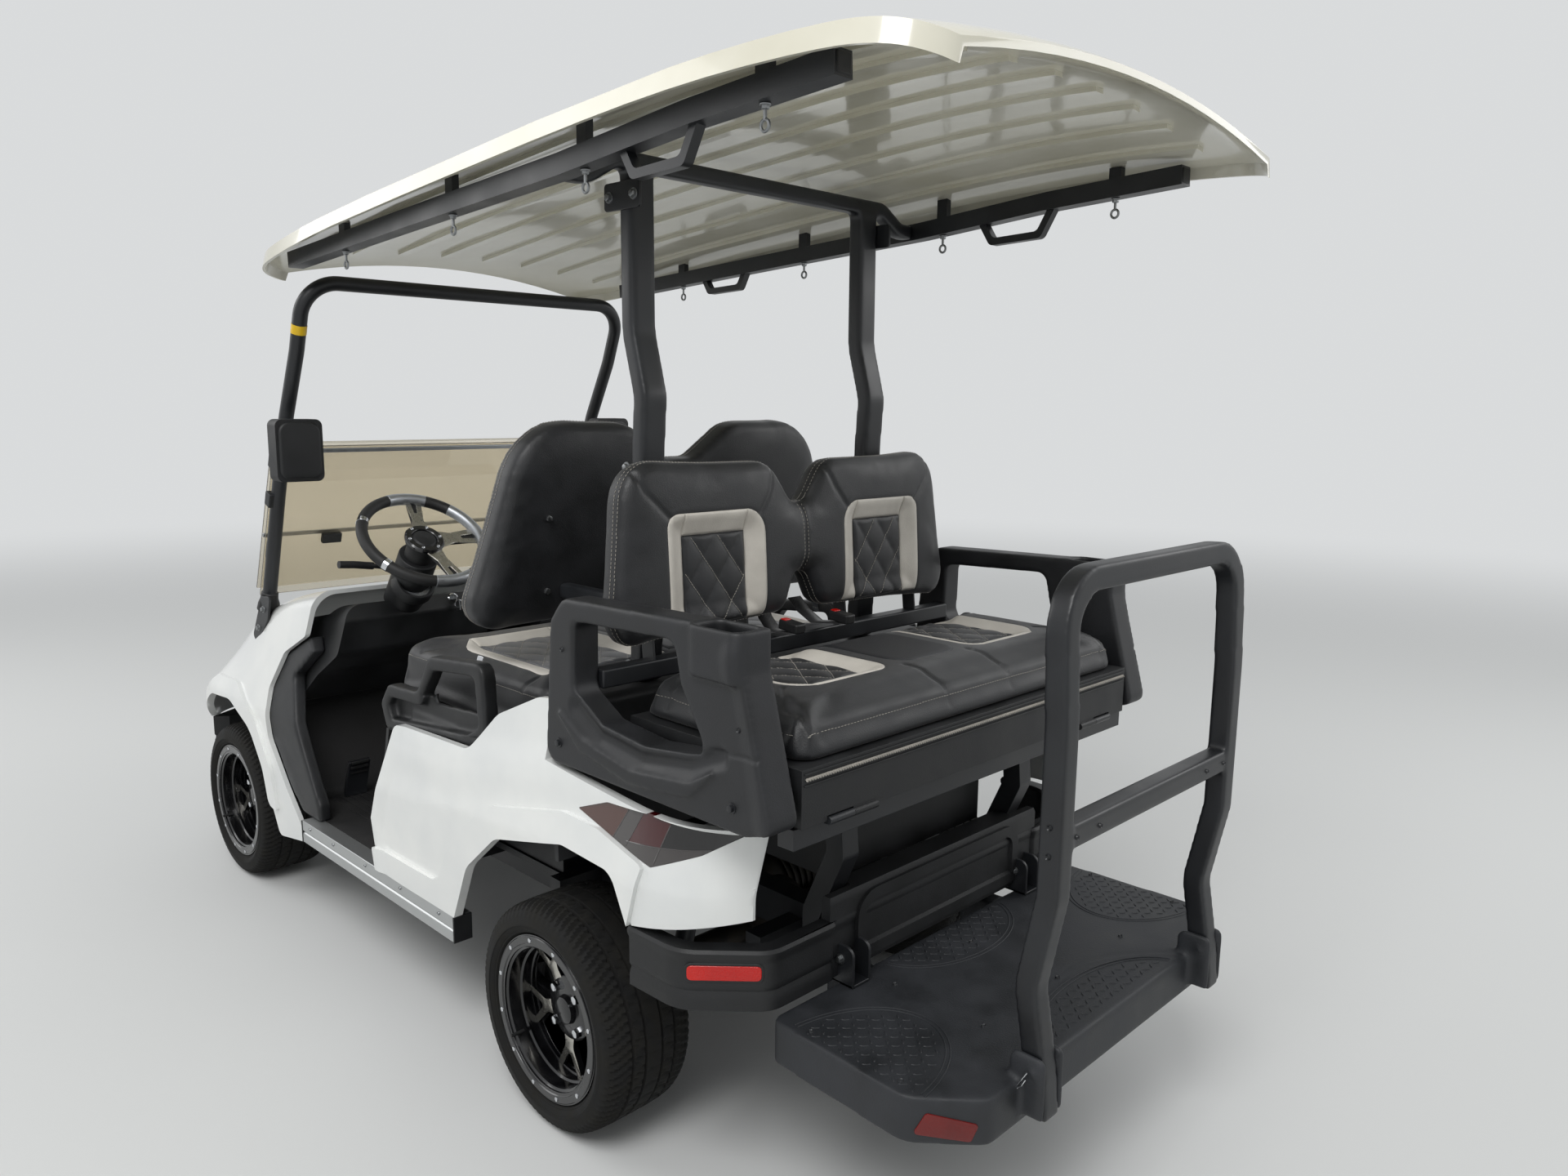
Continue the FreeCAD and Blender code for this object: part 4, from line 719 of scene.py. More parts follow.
# A thin cord or welt swept along a line: a round section spun out by a curve made a mesh
def cordAlong(name, points, radius, node, finish, closed=False, sides=3):
    curve = bpy.data.curves.new(name, "CURVE")
    curve.dimensions = "3D"
    curve.bevel_depth = radius
    curve.bevel_resolution = sides
    run = curve.splines.new("POLY")
    run.points.add(len(points) - 1)
    for spot, co in zip(run.points, points):
        spot.co = (co.x, co.y, co.z, 1)
    run.use_cyclic_u = closed
    curve.use_fill_caps = True
    carrier = placed(name, curve)
    bpy.context.view_layer.update()
    mesh = bpy.data.meshes.new_from_object(carrier.evaluated_get(bpy.context.evaluated_depsgraph_get()))
    bpy.data.objects.remove(carrier)
    bpy.data.curves.remove(curve)
    bm = bmesh.new()
    bm.from_mesh(mesh)
    bmesh.ops.remove_doubles(bm, verts=bm.verts, dist=tiny)
    bmesh.ops.recalc_face_normals(bm, faces=bm.faces)
    bpy.data.meshes.remove(mesh)
    return newPiece(name, bm, node, finish)


def band(u, v, depth):
    return 0.0005 + 0.003 * math.sqrt(easeIn(depth, 0, 0.012))


# Diamond quilting: puffed cells between two families of seams
def quilt(u, v, depth, wide, tall):
    cell = abs(math.sin(math.pi * (u / wide + v / tall)) * math.sin(math.pi * (u / wide - v / tall)))
    return 0.0004 + padding["puff"] * (0.12 + 0.88 * cell ** 0.4) * easeIn(depth, -0.001, 0.008)


# The quilting's seams inside an outline, as flat lines
def diamondRuns(outline, wide, tall):
    runs = []
    for lean in (1, -1):
        for k in range(-14, 15):
            inside = []
            for step in range(0, 640):
                v = step * 0.0025
                p = Vector(((k - lean * v / tall) * wide, v))
                if depthInside(p, outline) > 0.003:
                    inside.append(p)
            if len(inside) > 3:
                runs.append((inside[0], inside[-1]))
    return runs


seatBacks = {
    "front": {
        "node": "front_seat_back", "foot": 0.918, "lean": -5, "start": rearAxle + 0.312,
        "thick": 0.096, "face": 1,
        "half": [(0.040, 0.930), (0.545, 0.918), (0.566, 0.980), (0.452, 1.400), (0.160, 1.400),
                 (0.040, 1.318)],
        "radii": [0.02, 0.06, 0.06, 0.15, 0.10, 0.04],
        "insert": [(0.115, 0.962), (0.425, 0.962), (0.425, 1.275), (0.115, 1.275)],
        "insertRadii": [0, 0, 0.075, 0.040], "band": 0.052, "diamond": (0.078, 0.104),
        "seams": [[(0.120, 1.265), (0.115, 1.33), (0.130, 1.400)], [(0.415, 1.262), (0.460, 1.320)],
                  [(0.0, 1.33), (0.0, 0.93)]],
    },
    "rear": {
        "node": "rear_seat_back", "foot": 0.958, "lean": 4, "start": rearAxle - 0.128,
        "thick": 0.086, "face": -1,
        "half": [(0.018, 1.052), (0.060, 0.972), (0.500, 0.958), (0.522, 1.010), (0.484, 1.338),
                 (0.090, 1.334), (0.018, 1.246)],
        "radii": [0.01, 0.04, 0.04, 0.04, 0.08, 0.07, 0.012],
        "insert": [(0.122, 0.994), (0.380, 0.994), (0.380, 1.218), (0.122, 1.218)],
        "insertRadii": [0, 0, 0.030, 0.050], "band": 0.046, "diamond": (0.070, 0.094),
        "seams": [[(0.132, 1.208), (0.100, 1.250), (0.078, 1.300)], [(0.374, 1.212), (0.425, 1.262),
                  (0.452, 1.325)], [(0.0, 1.26), (0.0, 1.02)]],
    },
}
hollow = {"depth": 0.019, "slope": 0.046}
seam = {"depth": 0.0035, "wide": 0.009}


def leanOf(back):
    return (Matrix.Translation((back["start"], 0, back["foot"]))
            @ Matrix.Rotation(math.radians(back["lean"]), 4, "Y")
            @ Matrix.Translation((0, 0, -back["foot"])))


# Sinks a pad's hollows and seams; its flat points are u = across, v = upward from place
def hollowed(piece, view, insert, seams, depth, slope):
    place, across, upward = view
    facing = across.cross(upward)

    def sunk(co, normal):
        out = normal.dot(facing)
        if out < 0.2:
            return Vector()
        at = Vector((abs((co - place).dot(across)), (co - place).dot(upward)))
        sink = depth * easeIn(depthInside(at, insert), -0.008, slope)
        for line in seams:
            sink += fading(seam["depth"], distanceToRun(at, line), 0.001, seam["wide"])
        return -facing * sink * easeIn(out, 0.2, 0.6)

    press(piece, sunk)
    thinned(piece, padding["share"])
    smoothAll(piece)


# A light band round three sides of a hollow, and a quilted middle with its thread
def dressHollow(name, pad, view, insert, wide, diamond, node, middle):
    place, across, upward = view
    low, high = spanOf(insert)
    rightSide = [p for p in insert if p.x > high.x - wide + 0.002 and p.y > low.y + 0.001]
    leftSide = [p for p in insert if p.x < low.x + wide - 0.002 and p.y > low.y + 0.001]
    top = high.y - wide * 0.95
    bands = {
        "right_band": [Vector((high.x - wide, low.y)), Vector((high.x, low.y))] + rightSide
        + [Vector((high.x - wide, high.y))],
        "left_band": [Vector((low.x, low.y)), Vector((low.x + wide, low.y)), Vector((low.x + wide, high.y))]
        + leftSide,
        "top_band": [Vector((low.x + wide, top)), Vector((high.x - wide, top)),
                     Vector((high.x - wide, high.y)), Vector((low.x + wide, high.y))],
    }
    for part, outline in bands.items():
        sewnPanel(name + "_" + part, pad, *view, outline, band, node, "greyVinyl")
    inside = [Vector((low.x + wide, low.y)), Vector((high.x - wide, low.y)), Vector((high.x - wide, top)),
              Vector((low.x + wide, top))]
    quilted = sewnPanel(name + "_quilt", pad, *view, inside,
                        lambda u, v, depth: quilt(u, v, depth, *diamond), node, middle, 0.0043)
    runs = [[place + across * p.x + upward * p.y for p in run]
            for run in diamondRuns(inside, *diamond)]
    stitched(name + "_thread", quilted, runs, across.cross(upward), node)


def dressPad(name, pad, view, insert, wide, diamond, node, middle="seatVinyl"):
    for side in (1, -1):
        mirrored = side * view[1].y < 0
        shape = [Vector((-p.x, p.y)) for p in insert[::-1]] if mirrored else insert
        dressHollow("%s_%s" % (name, "left" if side > 0 else "right"), pad, view, shape, wide, diamond,
                    node, middle)


# A twin-humped seat back: bolsters around two hollows, seams at its corners, a stitched gusset
def makeSeatBack(name):
    back = seatBacks[name]
    room = 0.010
    inner = [(y - (room if y > 0.3 else 0), z - (room if z > 1.2 else -room)) for y, z in back["half"]]
    corners = [(0, y, z) for y, z in inner] + [(0, -y, z) for y, z in inner[::-1]]
    radii = back["radii"] + back["radii"][::-1]
    bm = plateShape(corners, radii, (back["thick"] - 2 * room, 0, 0))
    softenRims(bm, (1, 0, 0), 0.020)
    shift(bm, (room, 0, 0))
    node = back["node"]
    piece = newPiece(name + "_back_pad", bm, node, "seatVinyl", [node])
    swell(piece, 0.012, lambda co: 0.0)
    lean = leanOf(back)
    piece.data.transform(lean)
    upward = (lean.to_3x3() @ Vector((0, 0, 1))).normalized()
    view = (lean @ Vector((0, 0, 0)), Vector((0, back["face"], 0)), upward)
    insert = softOutline(back["insert"], back["insertRadii"])
    hollowed(piece, view, insert, [[Vector(p) for p in line] for line in back["seams"]], hollow["depth"],
             hollow["slope"])
    dressPad(name + "_back", piece, view, insert, back["band"], back["diamond"], node)
    rim = softOutline([(y, z) for x, y, z in corners], radii)
    rim.append(rim[0])
    gusset = []
    for x in (0.026, 0.040) if back["face"] < 0 else (back["thick"] - 0.040, back["thick"] - 0.026):
        gusset.append([lean @ Vector((x, p.x, p.y)) for p in rim])
    stitched(name + "_back_gusset_thread", piece, gusset, None, node, 0.008)
    middle = [[view[0] + view[1] * u + upward * v for v in (back["seams"][2][0][1], back["seams"][2][1][1])]
              for u in (-0.006, 0.006)]
    stitched(name + "_back_middle_thread", piece, middle, view[1].cross(upward), node, 0.008)


for name in seatBacks:
    makeSeatBack(name)
print("seat backs made")

cushions = {
    "front": {
        "node": "front_seat_cushion", "box": (rearAxle + 0.130, rearAxle + 0.800, 0.505, 0.7304, 0.8554),
        "corner": 0.05, "ahead": 1, "rim": 0.034,
        "insert": [(0.110, 0.230), (0.430, 0.230), (0.430, 0.640), (0.110, 0.640)],
        "insertRadii": [0, 0, 0.10, 0.06], "band": 0.050, "diamond": (0.078, 0.104),
        "seams": [[(0.115, 0.640), (0.085, 0.700), (0.080, 0.790)], [(0.425, 0.620), (0.470, 0.700)],
                  [(0.440, 0.25), (0.50, 0.25)]],
        "middle": "charcoalVinyl", "panel": (0.090, 0.24, 0.63),
    },
    "rear": {
        "node": "rear_seat_cushion", "box": (rearAxle - 0.594, rearAxle - 0.165, 0.505, 0.863, 0.943),
        "corner": 0.035, "ahead": -1, "rim": 0.030,
        "insert": [(0.130, 0.200), (0.385, 0.200), (0.385, 0.468), (0.130, 0.468)],
        "insertRadii": [0, 0, 0.070, 0.040], "band": 0.046, "diamond": (0.070, 0.094),
        "seams": [[(0.100, 0.470), (0.100, 0.590)], [(0.395, 0.440), (0.450, 0.500), (0.470, 0.590)],
                  [(0.400, 0.24), (0.49, 0.24)]],
        "middle": "seatVinyl", "panel": (0.098, 0.21, 0.462),
    },
}


# A bench cushion: flat and held below, crowned above, rolled at its free edge
def makeCushion(name):
    cushion = cushions[name]
    back, front, half, low, high = cushion["box"]
    room = 0.009
    r = cushion["corner"]
    bm = plateShape([(back + room, -half + room, 0), (front - room, -half + room, 0),
                     (front - room, half - room, 0), (back + room, half - room, 0)], [r] * 4,
                    (0, 0, high - low - room))
    shift(bm, (0, 0, low))
    top = high - room - 0.001
    softenRims(bm, (0, 0, 1), cushion["rim"], 5, lambda edge: min(v.co.z for v in edge.verts) > top)
    node = cushion["node"]
    piece = newPiece(name + "_cushion_pad", bm, node, "seatVinyl", [node])
    swell(piece, 0.013, lambda co: 1 - easeIn(co.z, low + 0.004, low + 0.03))
    ahead = Vector((cushion["ahead"], 0, 0))
    view = (Vector((rearAxle, 0, high)), Vector((0, -cushion["ahead"], 0)), ahead)
    insert = softOutline(cushion["insert"], cushion["insertRadii"])
    hollowed(piece, view, insert, [[Vector(p) for p in line] for line in cushion["seams"]], 0.015, 0.045)
    dressPad(name + "_cushion", piece, view, insert, cushion["band"], cushion["diamond"], node,
             cushion["middle"])
    wide, near, far = cushion["panel"]
    pierced = softOutline([(-wide, near), (wide, near), (wide, far), (-wide, far)], [0, 0, 0.05, 0.05])
    sewnPanel(name + "_cushion_middle", piece, *view, pierced,
              lambda u, v, depth: 0.0003 + 0.002 * easeIn(depth, 0, 0.01), node, "piercedVinyl")
    edge = front if cushion["ahead"] > 0 else back
    roll = [[Vector((edge, y * half * 0.97, high - 0.030)) for y in (-1, 1)]]
    for side in (1, -1):
        roll.append([Vector((edge - cushion["ahead"] * 0.04, side * half, high - 0.030)),
                     Vector((edge - cushion["ahead"] * (front - back - 0.03), side * half, high - 0.030))])
    stitched(name + "_cushion_roll_thread", piece, roll, None, node, 0.008)


for name in cushions:
    makeCushion(name)
print("cushions made")


# Wheels: siped tyres, deep rims with split spokes, bolts and nuts

wheel = {
    "radius": 0.230, "sipes": 84, "sipeDepth": 0.005, "sipeLean": 26.0,
    "boltCircle": 0.157, "bolts": 12, "lipFace": 0.093, "spokeFace": 0.0232, "spokes": 5,
    "tyreHalf": [(0.0000, 0.2300), (0.0160, 0.2300), (0.0180, 0.2240), (0.0210, 0.2240), (0.0230, 0.2300),
                 (0.0345, 0.2300), (0.0460, 0.2297), (0.0480, 0.2235), (0.0515, 0.2235), (0.0535, 0.2293),
                 (0.0640, 0.2287), (0.0740, 0.2275), (0.0820, 0.2255), (0.0890, 0.2220), (0.0950, 0.2165),
                 (0.0985, 0.2100), (0.1005, 0.2020), (0.1022, 0.1940), (0.1025, 0.1935), (0.1027, 0.1880),
                 (0.1012, 0.1870), (0.0985, 0.1785), (0.0960, 0.1762), (0.0958, 0.1738), (0.0925, 0.1712),
                 (0.0885, 0.1704), (0.0800, 0.1620), (0.0763, 0.1540)],
    "fork": [(0.050, -0.018), (0.082, -0.013), (0.137, -0.043), (0.141, -0.029), (0.100, -0.004),
             (0.100, 0.004), (0.141, 0.029), (0.137, 0.043), (0.082, 0.013), (0.050, 0.018)],
    "forkRadii": [0, 0.02, 0.003, 0.003, 0.004, 0.004, 0.003, 0.003, 0.02, 0], "forkTall": 0.013,
    "cap": [(0.024, 0.0001), (0.052, 0.0001), (0.052, 0.022), (0.049, 0.027), (0.038, 0.030),
            (0.037, 0.036), (0.0365, 0.062), (0.034, 0.066), (0.024, 0.066)],
    "lip": [(0.028, 0.1395), (0.030, 0.1350), (0.034, 0.1345), (0.036, 0.1380), (0.050, 0.1385),
            (0.053, 0.1350), (0.057, 0.1345), (0.060, 0.1385), (0.086, 0.1392), (0.0935, 0.1500),
            (0.0952, 0.1510), (0.0955, 0.1635), (0.0945, 0.1650), (0.0930, 0.1650), (0.0920, 0.1500),
            (0.084, 0.1398)],
    # nuts: number, distance from the axle, size across and height; the valve's angle, distance and place
    "nuts": (4, 0.0505, 0.021, 0.016), "valve": (2.2, 0.1335, 0.088),
}
wheelPlaces = {
    "front_left": (frontAxle, 0.491, 1), "front_right": (frontAxle, -0.491, -1),
    "rear_left": (rearAxle, 0.514, 1), "rear_right": (rearAxle, -0.514, -1),
}


# A section of (distance along the axle, radius) points spun once round the Y axis
def spun(section, steps, closed=True):
    bm = bmesh.new()
    verts = [bm.verts.new((0, y, r)) for y, r in section]
    for a, b in zip(verts, verts[1:] + (verts[:1] if closed else [])):
        bm.edges.new((a, b))
    bmesh.ops.spin(bm, geom=list(bm.verts) + list(bm.edges), cent=(0, 0, 0), axis=(0, 1, 0), dvec=(0, 0, 0),
                   angle=2 * math.pi, steps=steps, use_merge=True)
    bmesh.ops.remove_doubles(bm, verts=bm.verts, dist=tiny)
    bmesh.ops.recalc_face_normals(bm, faces=bm.faces)
    return bm


# The same, its axis turned from Y to the place's own Z
def lathed(section, steps, place, closed=False):
    bm = spun(section, steps, closed)
    bm.transform(place @ Matrix.Rotation(math.pi / 2, 4, "X"))
    return bm


def sipedTyre():
    half = wheel["tyreHalf"]
    bm = spun(half + [(-y, r) for y, r in half[:0:-1]], wheel["sipes"] * 4)
    for vert in bm.verts:
        wide = abs(vert.co.y)
        r = math.hypot(vert.co.x, vert.co.z)
        turn = math.atan2(vert.co.x, vert.co.z) / (2 * math.pi) * wheel["sipes"]
        lean = wheel["sipeLean"] * (wide - 0.05)
        if 0.053 < wide and r > 0.200:
            phase = (turn + lean + 0.5) % 1 - 0.5
            deep = fading(wheel["sipeDepth"], abs(phase), 0.08, 0.21)
            deep = fading(deep, wide, 0.093, 0.101)
        elif 0.022 < wide < 0.047 and r > 0.226:
            phase = (turn * 0.5 + lean + 0.5) % 1 - 0.5
            deep = fading(0.004, abs(phase), 0.04, 0.11)
        elif wide < 0.005:
            phase = (turn * 0.5 + 0.25) % 1 - 0.5
            deep = fading(0.003, abs(phase), 0.05, 0.15)
        else:
            continue
        vert.co.x -= vert.co.x / r * deep
        vert.co.z -= vert.co.z / r * deep
    bmesh.ops.recalc_face_normals(bm, faces=bm.faces)
    return bm


# The middle of a wheel, and the side of the cart that it faces
def wheelSeat(name):
    x, plane, side = wheelPlaces[name]
    return Vector((x, plane, wheel["radius"])), side


# A point on a wheel: its distance out from the middle plane, its angle and its distance from the axle
def onWheel(name, y, angle, r):
    centre, side = wheelSeat(name)
    return centre + Vector((r * math.sin(angle), side * y, r * math.cos(angle)))


def makeTyre(name):
    bm = sipedTyre()
    shift(bm, wheelSeat(name)[0])
    tyre = "tyre_" + name
    newPiece(tyre + "_tread", bm, tyre, "tyreRubber", [tyre])


def makeWheelBolts(name):
    way = (0, wheelSeat(name)[1], 0)
    bm = bmesh.new()
    for k in range(wheel["bolts"]):
        angle = 2 * math.pi * (k + 0.5) / wheel["bolts"]
        hexHead(bm, onWheel(name, wheel["lipFace"] - 0.0005, angle, wheel["boltCircle"]), way, 0.0105,
                0.005)
    count, ring, across, tall = wheel["nuts"]
    for k in range(count):
        angle = 2 * math.pi * (k + 0.5) / count
        hexHead(bm, onWheel(name, wheel["spokeFace"] + 0.011, angle, ring), way, across, tall)
    newPiece("wheel_bolts_" + name, bm, "rim_" + name, "chromePlate")


# The spokes' forked faces, bright in front and black round their edges
def makeSpokes(name):
    centre, side = wheelSeat(name)
    forks = []
    tall = wheel["forkTall"]
    for k in range(wheel["spokes"]):
        angle = 2 * math.pi * (k + 0.5) / wheel["spokes"]
        bm = plateShape([(b, 0, a) for a, b in wheel["fork"]], wheel["forkRadii"], (0, tall, 0), 3)
        softenRims(bm, (0, 1, 0), 0.0018, 2, lambda e: min(v.co.y for v in e.verts) > tall - 0.001)
        bm.transform(Matrix.Rotation(angle, 4, "Y"))
        bm.transform(Matrix.Translation((0, wheel["spokeFace"], 0)))
        forks.append(bm)
    whole = gathered(forks)
    if side < 0:
        bmesh.ops.scale(whole, verts=whole.verts, vec=(1, -1, 1))
        bmesh.ops.reverse_faces(whole, faces=whole.faces)
    shift(whole, centre)
    whole.normal_update()
    for face in whole.faces:
        face.material_index = 0 if face.normal.y * side > 0.8 else 1
    newPiece("wheel_spokes_" + name, whole, "rim_" + name, ["machinedAlloy", "glossBlack"])


def makeWheelRings(name):
    centre, side = wheelSeat(name)
    for piece, part, steps in (("wheel_hub_", "cap", 48), ("wheel_lip_", "lip", 96)):
        bm = spun([(y * side, r) for y, r in wheel[part]], steps)
        shift(bm, centre)
        newPiece(piece + name, bm, "rim_" + name, "glossBlack")


def makeValve(name):
    angle, ring, y = wheel["valve"]
    turn = Matrix.Rotation(math.radians(-90 * wheelSeat(name)[1]), 4, "X")
    bm = bmesh.new()
    bmesh.ops.create_cone(bm, cap_ends=True, segments=12, radius1=0.0042, radius2=0.0034, depth=0.03,
                          matrix=Matrix.Translation(onWheel(name, y, angle, ring)) @ turn)
    newPiece("wheel_valve_" + name, bm, "rim_" + name, "gripRubber", crisp=0.0006)


for name in wheelPlaces:
    for make in (makeTyre, makeWheelBolts, makeSpokes, makeWheelRings, makeValve):
        make(name)
print("wheels made")

# Painted body skins: the panel's own surface cut fine, then pressed out along its lines


# A copy of a node cut by planes a cell apart. outward(co, normal) is the way a point may move, or
# None; raised(co) is how far it does
def pressedSkin(node, finish, cell, raised, width, axes, outward):
    bm = weldedCopy(node)
    for axis in axes:
        low = min(v.co[axis] for v in bm.verts)
        high = max(v.co[axis] for v in bm.verts)
        for k in range(1, int((high - low) / cell)):
            spot, way = Vector(), Vector()
            spot[axis] = low + k * cell
            way[axis] = 1
            bmesh.ops.bisect_plane(bm, geom=everyPart(bm), plane_co=spot,
                                   plane_no=way, dist=tiny)
    bm.normal_update()
    shifts = []
    for vert in bm.verts:
        way = outward(vert.co, vert.normal)
        if way is not None and way.length > 0.01:
            shifts.append((vert, way.normalized() * raised(vert.co)))
    for vert, push in shifts:
        vert.co += push
    return newPiece(node + "_skin", bm, node, finish, [node], crisp=width)


quarterRise = 0.006
quarterLines = {
    "front": [(0.715, 0.300), (0.736, 0.440), (0.629, 0.690)],
    "shoulder": [(0.62, 0.640), (0.36, 0.655), (0.16, 0.700), (-0.10, 0.742), (-0.46, 0.735)],
}


def quarterRaise(co):
    at = Vector((co.x - rearAxle, co.z))
    rows = {name: [Vector(p) for p in points] for name, points in quarterLines.items()}
    return max(fading(quarterRise, distanceToRun(at, rows["front"]), 0.022, 0.050),
               fading(quarterRise, distanceToRun(at, rows["shoulder"]), 0.0, 0.070))


# The outer faces of a body's two sides
def sideways(co, normal):
    side = 1 if co.y > 0 else -1
    return Vector((0, side, 0)) if normal.y * side > 0.25 else None


pressedSkin("quarter_panels", "pearlPaint", 0.0115, quarterRaise, 0.002, (0, 2), sideways)
print("quarter panels made")


# A moulded part's copy: taken into fine cells, its edges rubbed round, pushed along its lines, then
# thinned out
def moulded(node, finish, cell, passes, share, raised=None, outward=None):
    piece = newPiece(node + "_skin", weldedCopy(node), node, finish, [node])
    cellsOf(piece, cell)
    bm = bmesh.new()
    bm.from_mesh(piece.data)
    for step in range(passes):
        relax(bm)
        if raised and step == passes - 2:
            bm.normal_update()
            pushed = [(vert, outward(vert.co, vert.normal)) for vert in bm.verts]
            for vert, way in pushed:
                if way is not None:
                    vert.co += way.normalized() * raised(vert.co)
    bm.to_mesh(piece.data)
    bm.free()
    thinned(piece, share)
    smoothByAngle(piece, 50)
    return piece


# Lines in the side view, from the rear axle
sidePanel = {
    "scoop": [(-0.100, 0.880), (-0.170, 0.838), (-0.290, 0.824), (-0.415, 0.842), (-0.490, 0.874)],
    "post": [(-0.545, 1.040), (-0.585, 0.900), (-0.605, 0.790)],
    "joint": [(-0.470, 0.882), (-0.640, 0.897)],
    "scoopSize": (0.010, 0.003, 0.025), "postSize": (0.007, 0.008, 0.046),
    "jointSize": (0.0035, 0.001, 0.006),
}
panelLines = {name: [Vector(p) for p in sidePanel[name]] for name in ("scoop", "post", "joint")}


# How high a line still is at a point
def nearLine(at, name):
    height, near, far = sidePanel[name + "Size"]
    return fading(height, distanceToRun(at, panelLines[name]), near, far)


def sidePanelRaise(co):
    at = Vector((co.x - rearAxle, co.z))
    return nearLine(at, "post") - nearLine(at, "scoop") - nearLine(at, "joint")


moulded("rear_side_panels", "greyMoulding", 0.0034, 9, 0.28, sidePanelRaise,
        lambda co, normal: sideways(co, normal) if abs(co.y) > 0.570 else None)
moulded("hip_restraints", "blackMoulding", 0.004, 7, 0.28)
moulded("footplate", "treadMoulding", 0.0048, 6, 0.28)
moulded("footwell_trims", "greyMoulding", 0.0042, 12, 0.25)
moulded("grab_bar", "powderCoat", 0.0036, 7, 0.28)
moulded("roof_posts", "powderCoat", 0.0040, 12, 0.2)
print("moulded parts made")


# Tail lamps: one moulded lens in coloured fields, bright lines between them. The pale divider, the pale
# strip along the foot and the bright lines are painted highlights, drawn as a paler grey lens

tailLamp = {
    # the fields' bounds in the side view: a point from the rear axle, and the way across
    "bounds": {"amber": ((-0.232, 0.700), (1, 0.62)), "bright": ((-0.270, 0.700), (1, 0.55)),
               "red": ((-0.338, 0.700), (1, 0.35)), "low": ((-0.330, 0.674), (0.10, 1))},
    "redTip": 0.715, "line": 0.0011,
}
# the last field is painted highlight: a paler lens for the divider and the strip along the foot
lampFields = ["smokeLens", "amberLens", "darkRedLens", "hazedLens"]


def makeTailLamps():
    bm = weldedCopy("tail_lamps")
    for (x, z), (nx, nz) in tailLamp["bounds"].values():
        bmesh.ops.bisect_plane(bm, geom=everyPart(bm),
                               plane_co=(rearAxle + x, 0, z), plane_no=(nx, 0, nz), dist=tiny)
    for face in bm.faces:
        at = face.calc_center_median()
        past = {name: (at.x - rearAxle - x) * nx + (at.z - z) * nz
                for name, ((x, z), (nx, nz)) in tailLamp["bounds"].items()}
        # painted highlight: the foot strip and the band between the bright and amber bounds take the paler
        # lens
        if past["low"] < 0 or (past["amber"] < 0 < past["bright"]):
            face.material_index = 3
        elif past["amber"] > 0:
            face.material_index = 2 if at.z > tailLamp["redTip"] and at.x < rearAxle - 0.15 else 1
        else:
            face.material_index = 2 if past["red"] > 0 else 0
    lamp = newPiece("tail_lamps_lens", bm, "tail_lamps", lampFields, ["tail_lamps"],
                    crisp=0.0015)
    # painted highlights: pale cords laid along every field's bound
    for side in (1, -1):
        for name, ((x, z), (nx, nz)) in tailLamp["bounds"].items():
            run = Vector((-nz, 0, nx)).normalized()
            start = Vector((rearAxle + x, side * 0.3, z))
            points = [start + run * k * 0.006 for k in range(-14, 15)]
            tree = treeOf(lamp.data)
            spots = []
            for at in points:
                spot = tree.ray_cast(at + Vector((0, side * 0.5, 0)), Vector((0, -side, 0)))[0]
                if spot is not None and abs(spot.y) > 0.40:
                    spots.append(spot)
            if len(spots) > 2:
                cordAlong("tail_lamp_line_%s_%d" % (name, side), spots, tailLamp["line"], "tail_lamps",
                          "hazedLens")


makeTailLamps()

# Rear bumper, crossbeam and the brackets at the rear seat's legs

bumper = {
    "top": 0.515, "lip": 0.004, "groove": 0.437, "sunk": 0.0035, "reflector": (0.128, 0.027, 0.007),
    "reflectorPlace": (-0.446, 0.536, 0.474), "reflectorWay": (-0.695, 0.72, 0.0),
    "beam": (0.262, 0.418, 0.548), "bracket": (0.256, 0.306),
}


def bumperRaise(co):
    return (fading(bumper["lip"], bumper["top"] - co.z, 0.010, 0.022)
            - fading(bumper["sunk"], abs(co.z - bumper["groove"]), 0.002, 0.008))


pressedSkin("rear_bumper", "blackMoulding", 0.007, bumperRaise, 0.003, (2,),
            lambda co, normal: Vector((normal.x, normal.y, 0)) if abs(normal.z) < 0.5 else None)


# A flat shape drawn in its own plane (u, v), stood at place and looking along way
def standing(outline, radii, thick, place, way):
    way = Vector(way).normalized()
    across = Vector((0, 0, 1)).cross(way).normalized()
    upward = way.cross(across)
    spots = [Vector(place) + across * u + upward * v for u, v in outline]
    return plateShape([tuple(s) for s in spots], radii, tuple(way * thick))


def bar(wide, tall):
    return [(-wide / 2, -tall / 2), (wide / 2, -tall / 2), (wide / 2, tall / 2), (-wide / 2, tall / 2)]


# A reflector on both sides of the cart: let in by sunk, its front edges softened by soft
def lensPair(name, outline, radius, thick, sunk, place, way, soft, segments, node, finish):
    lens = standing(outline, [radius] * 4, thick, place - way * sunk, way)
    softenRims(lens, way, soft, segments, lambda e: min((v.co - place).dot(way) for v in e.verts) > 0)
    newPiece(name, twinned(lens), node, finish)


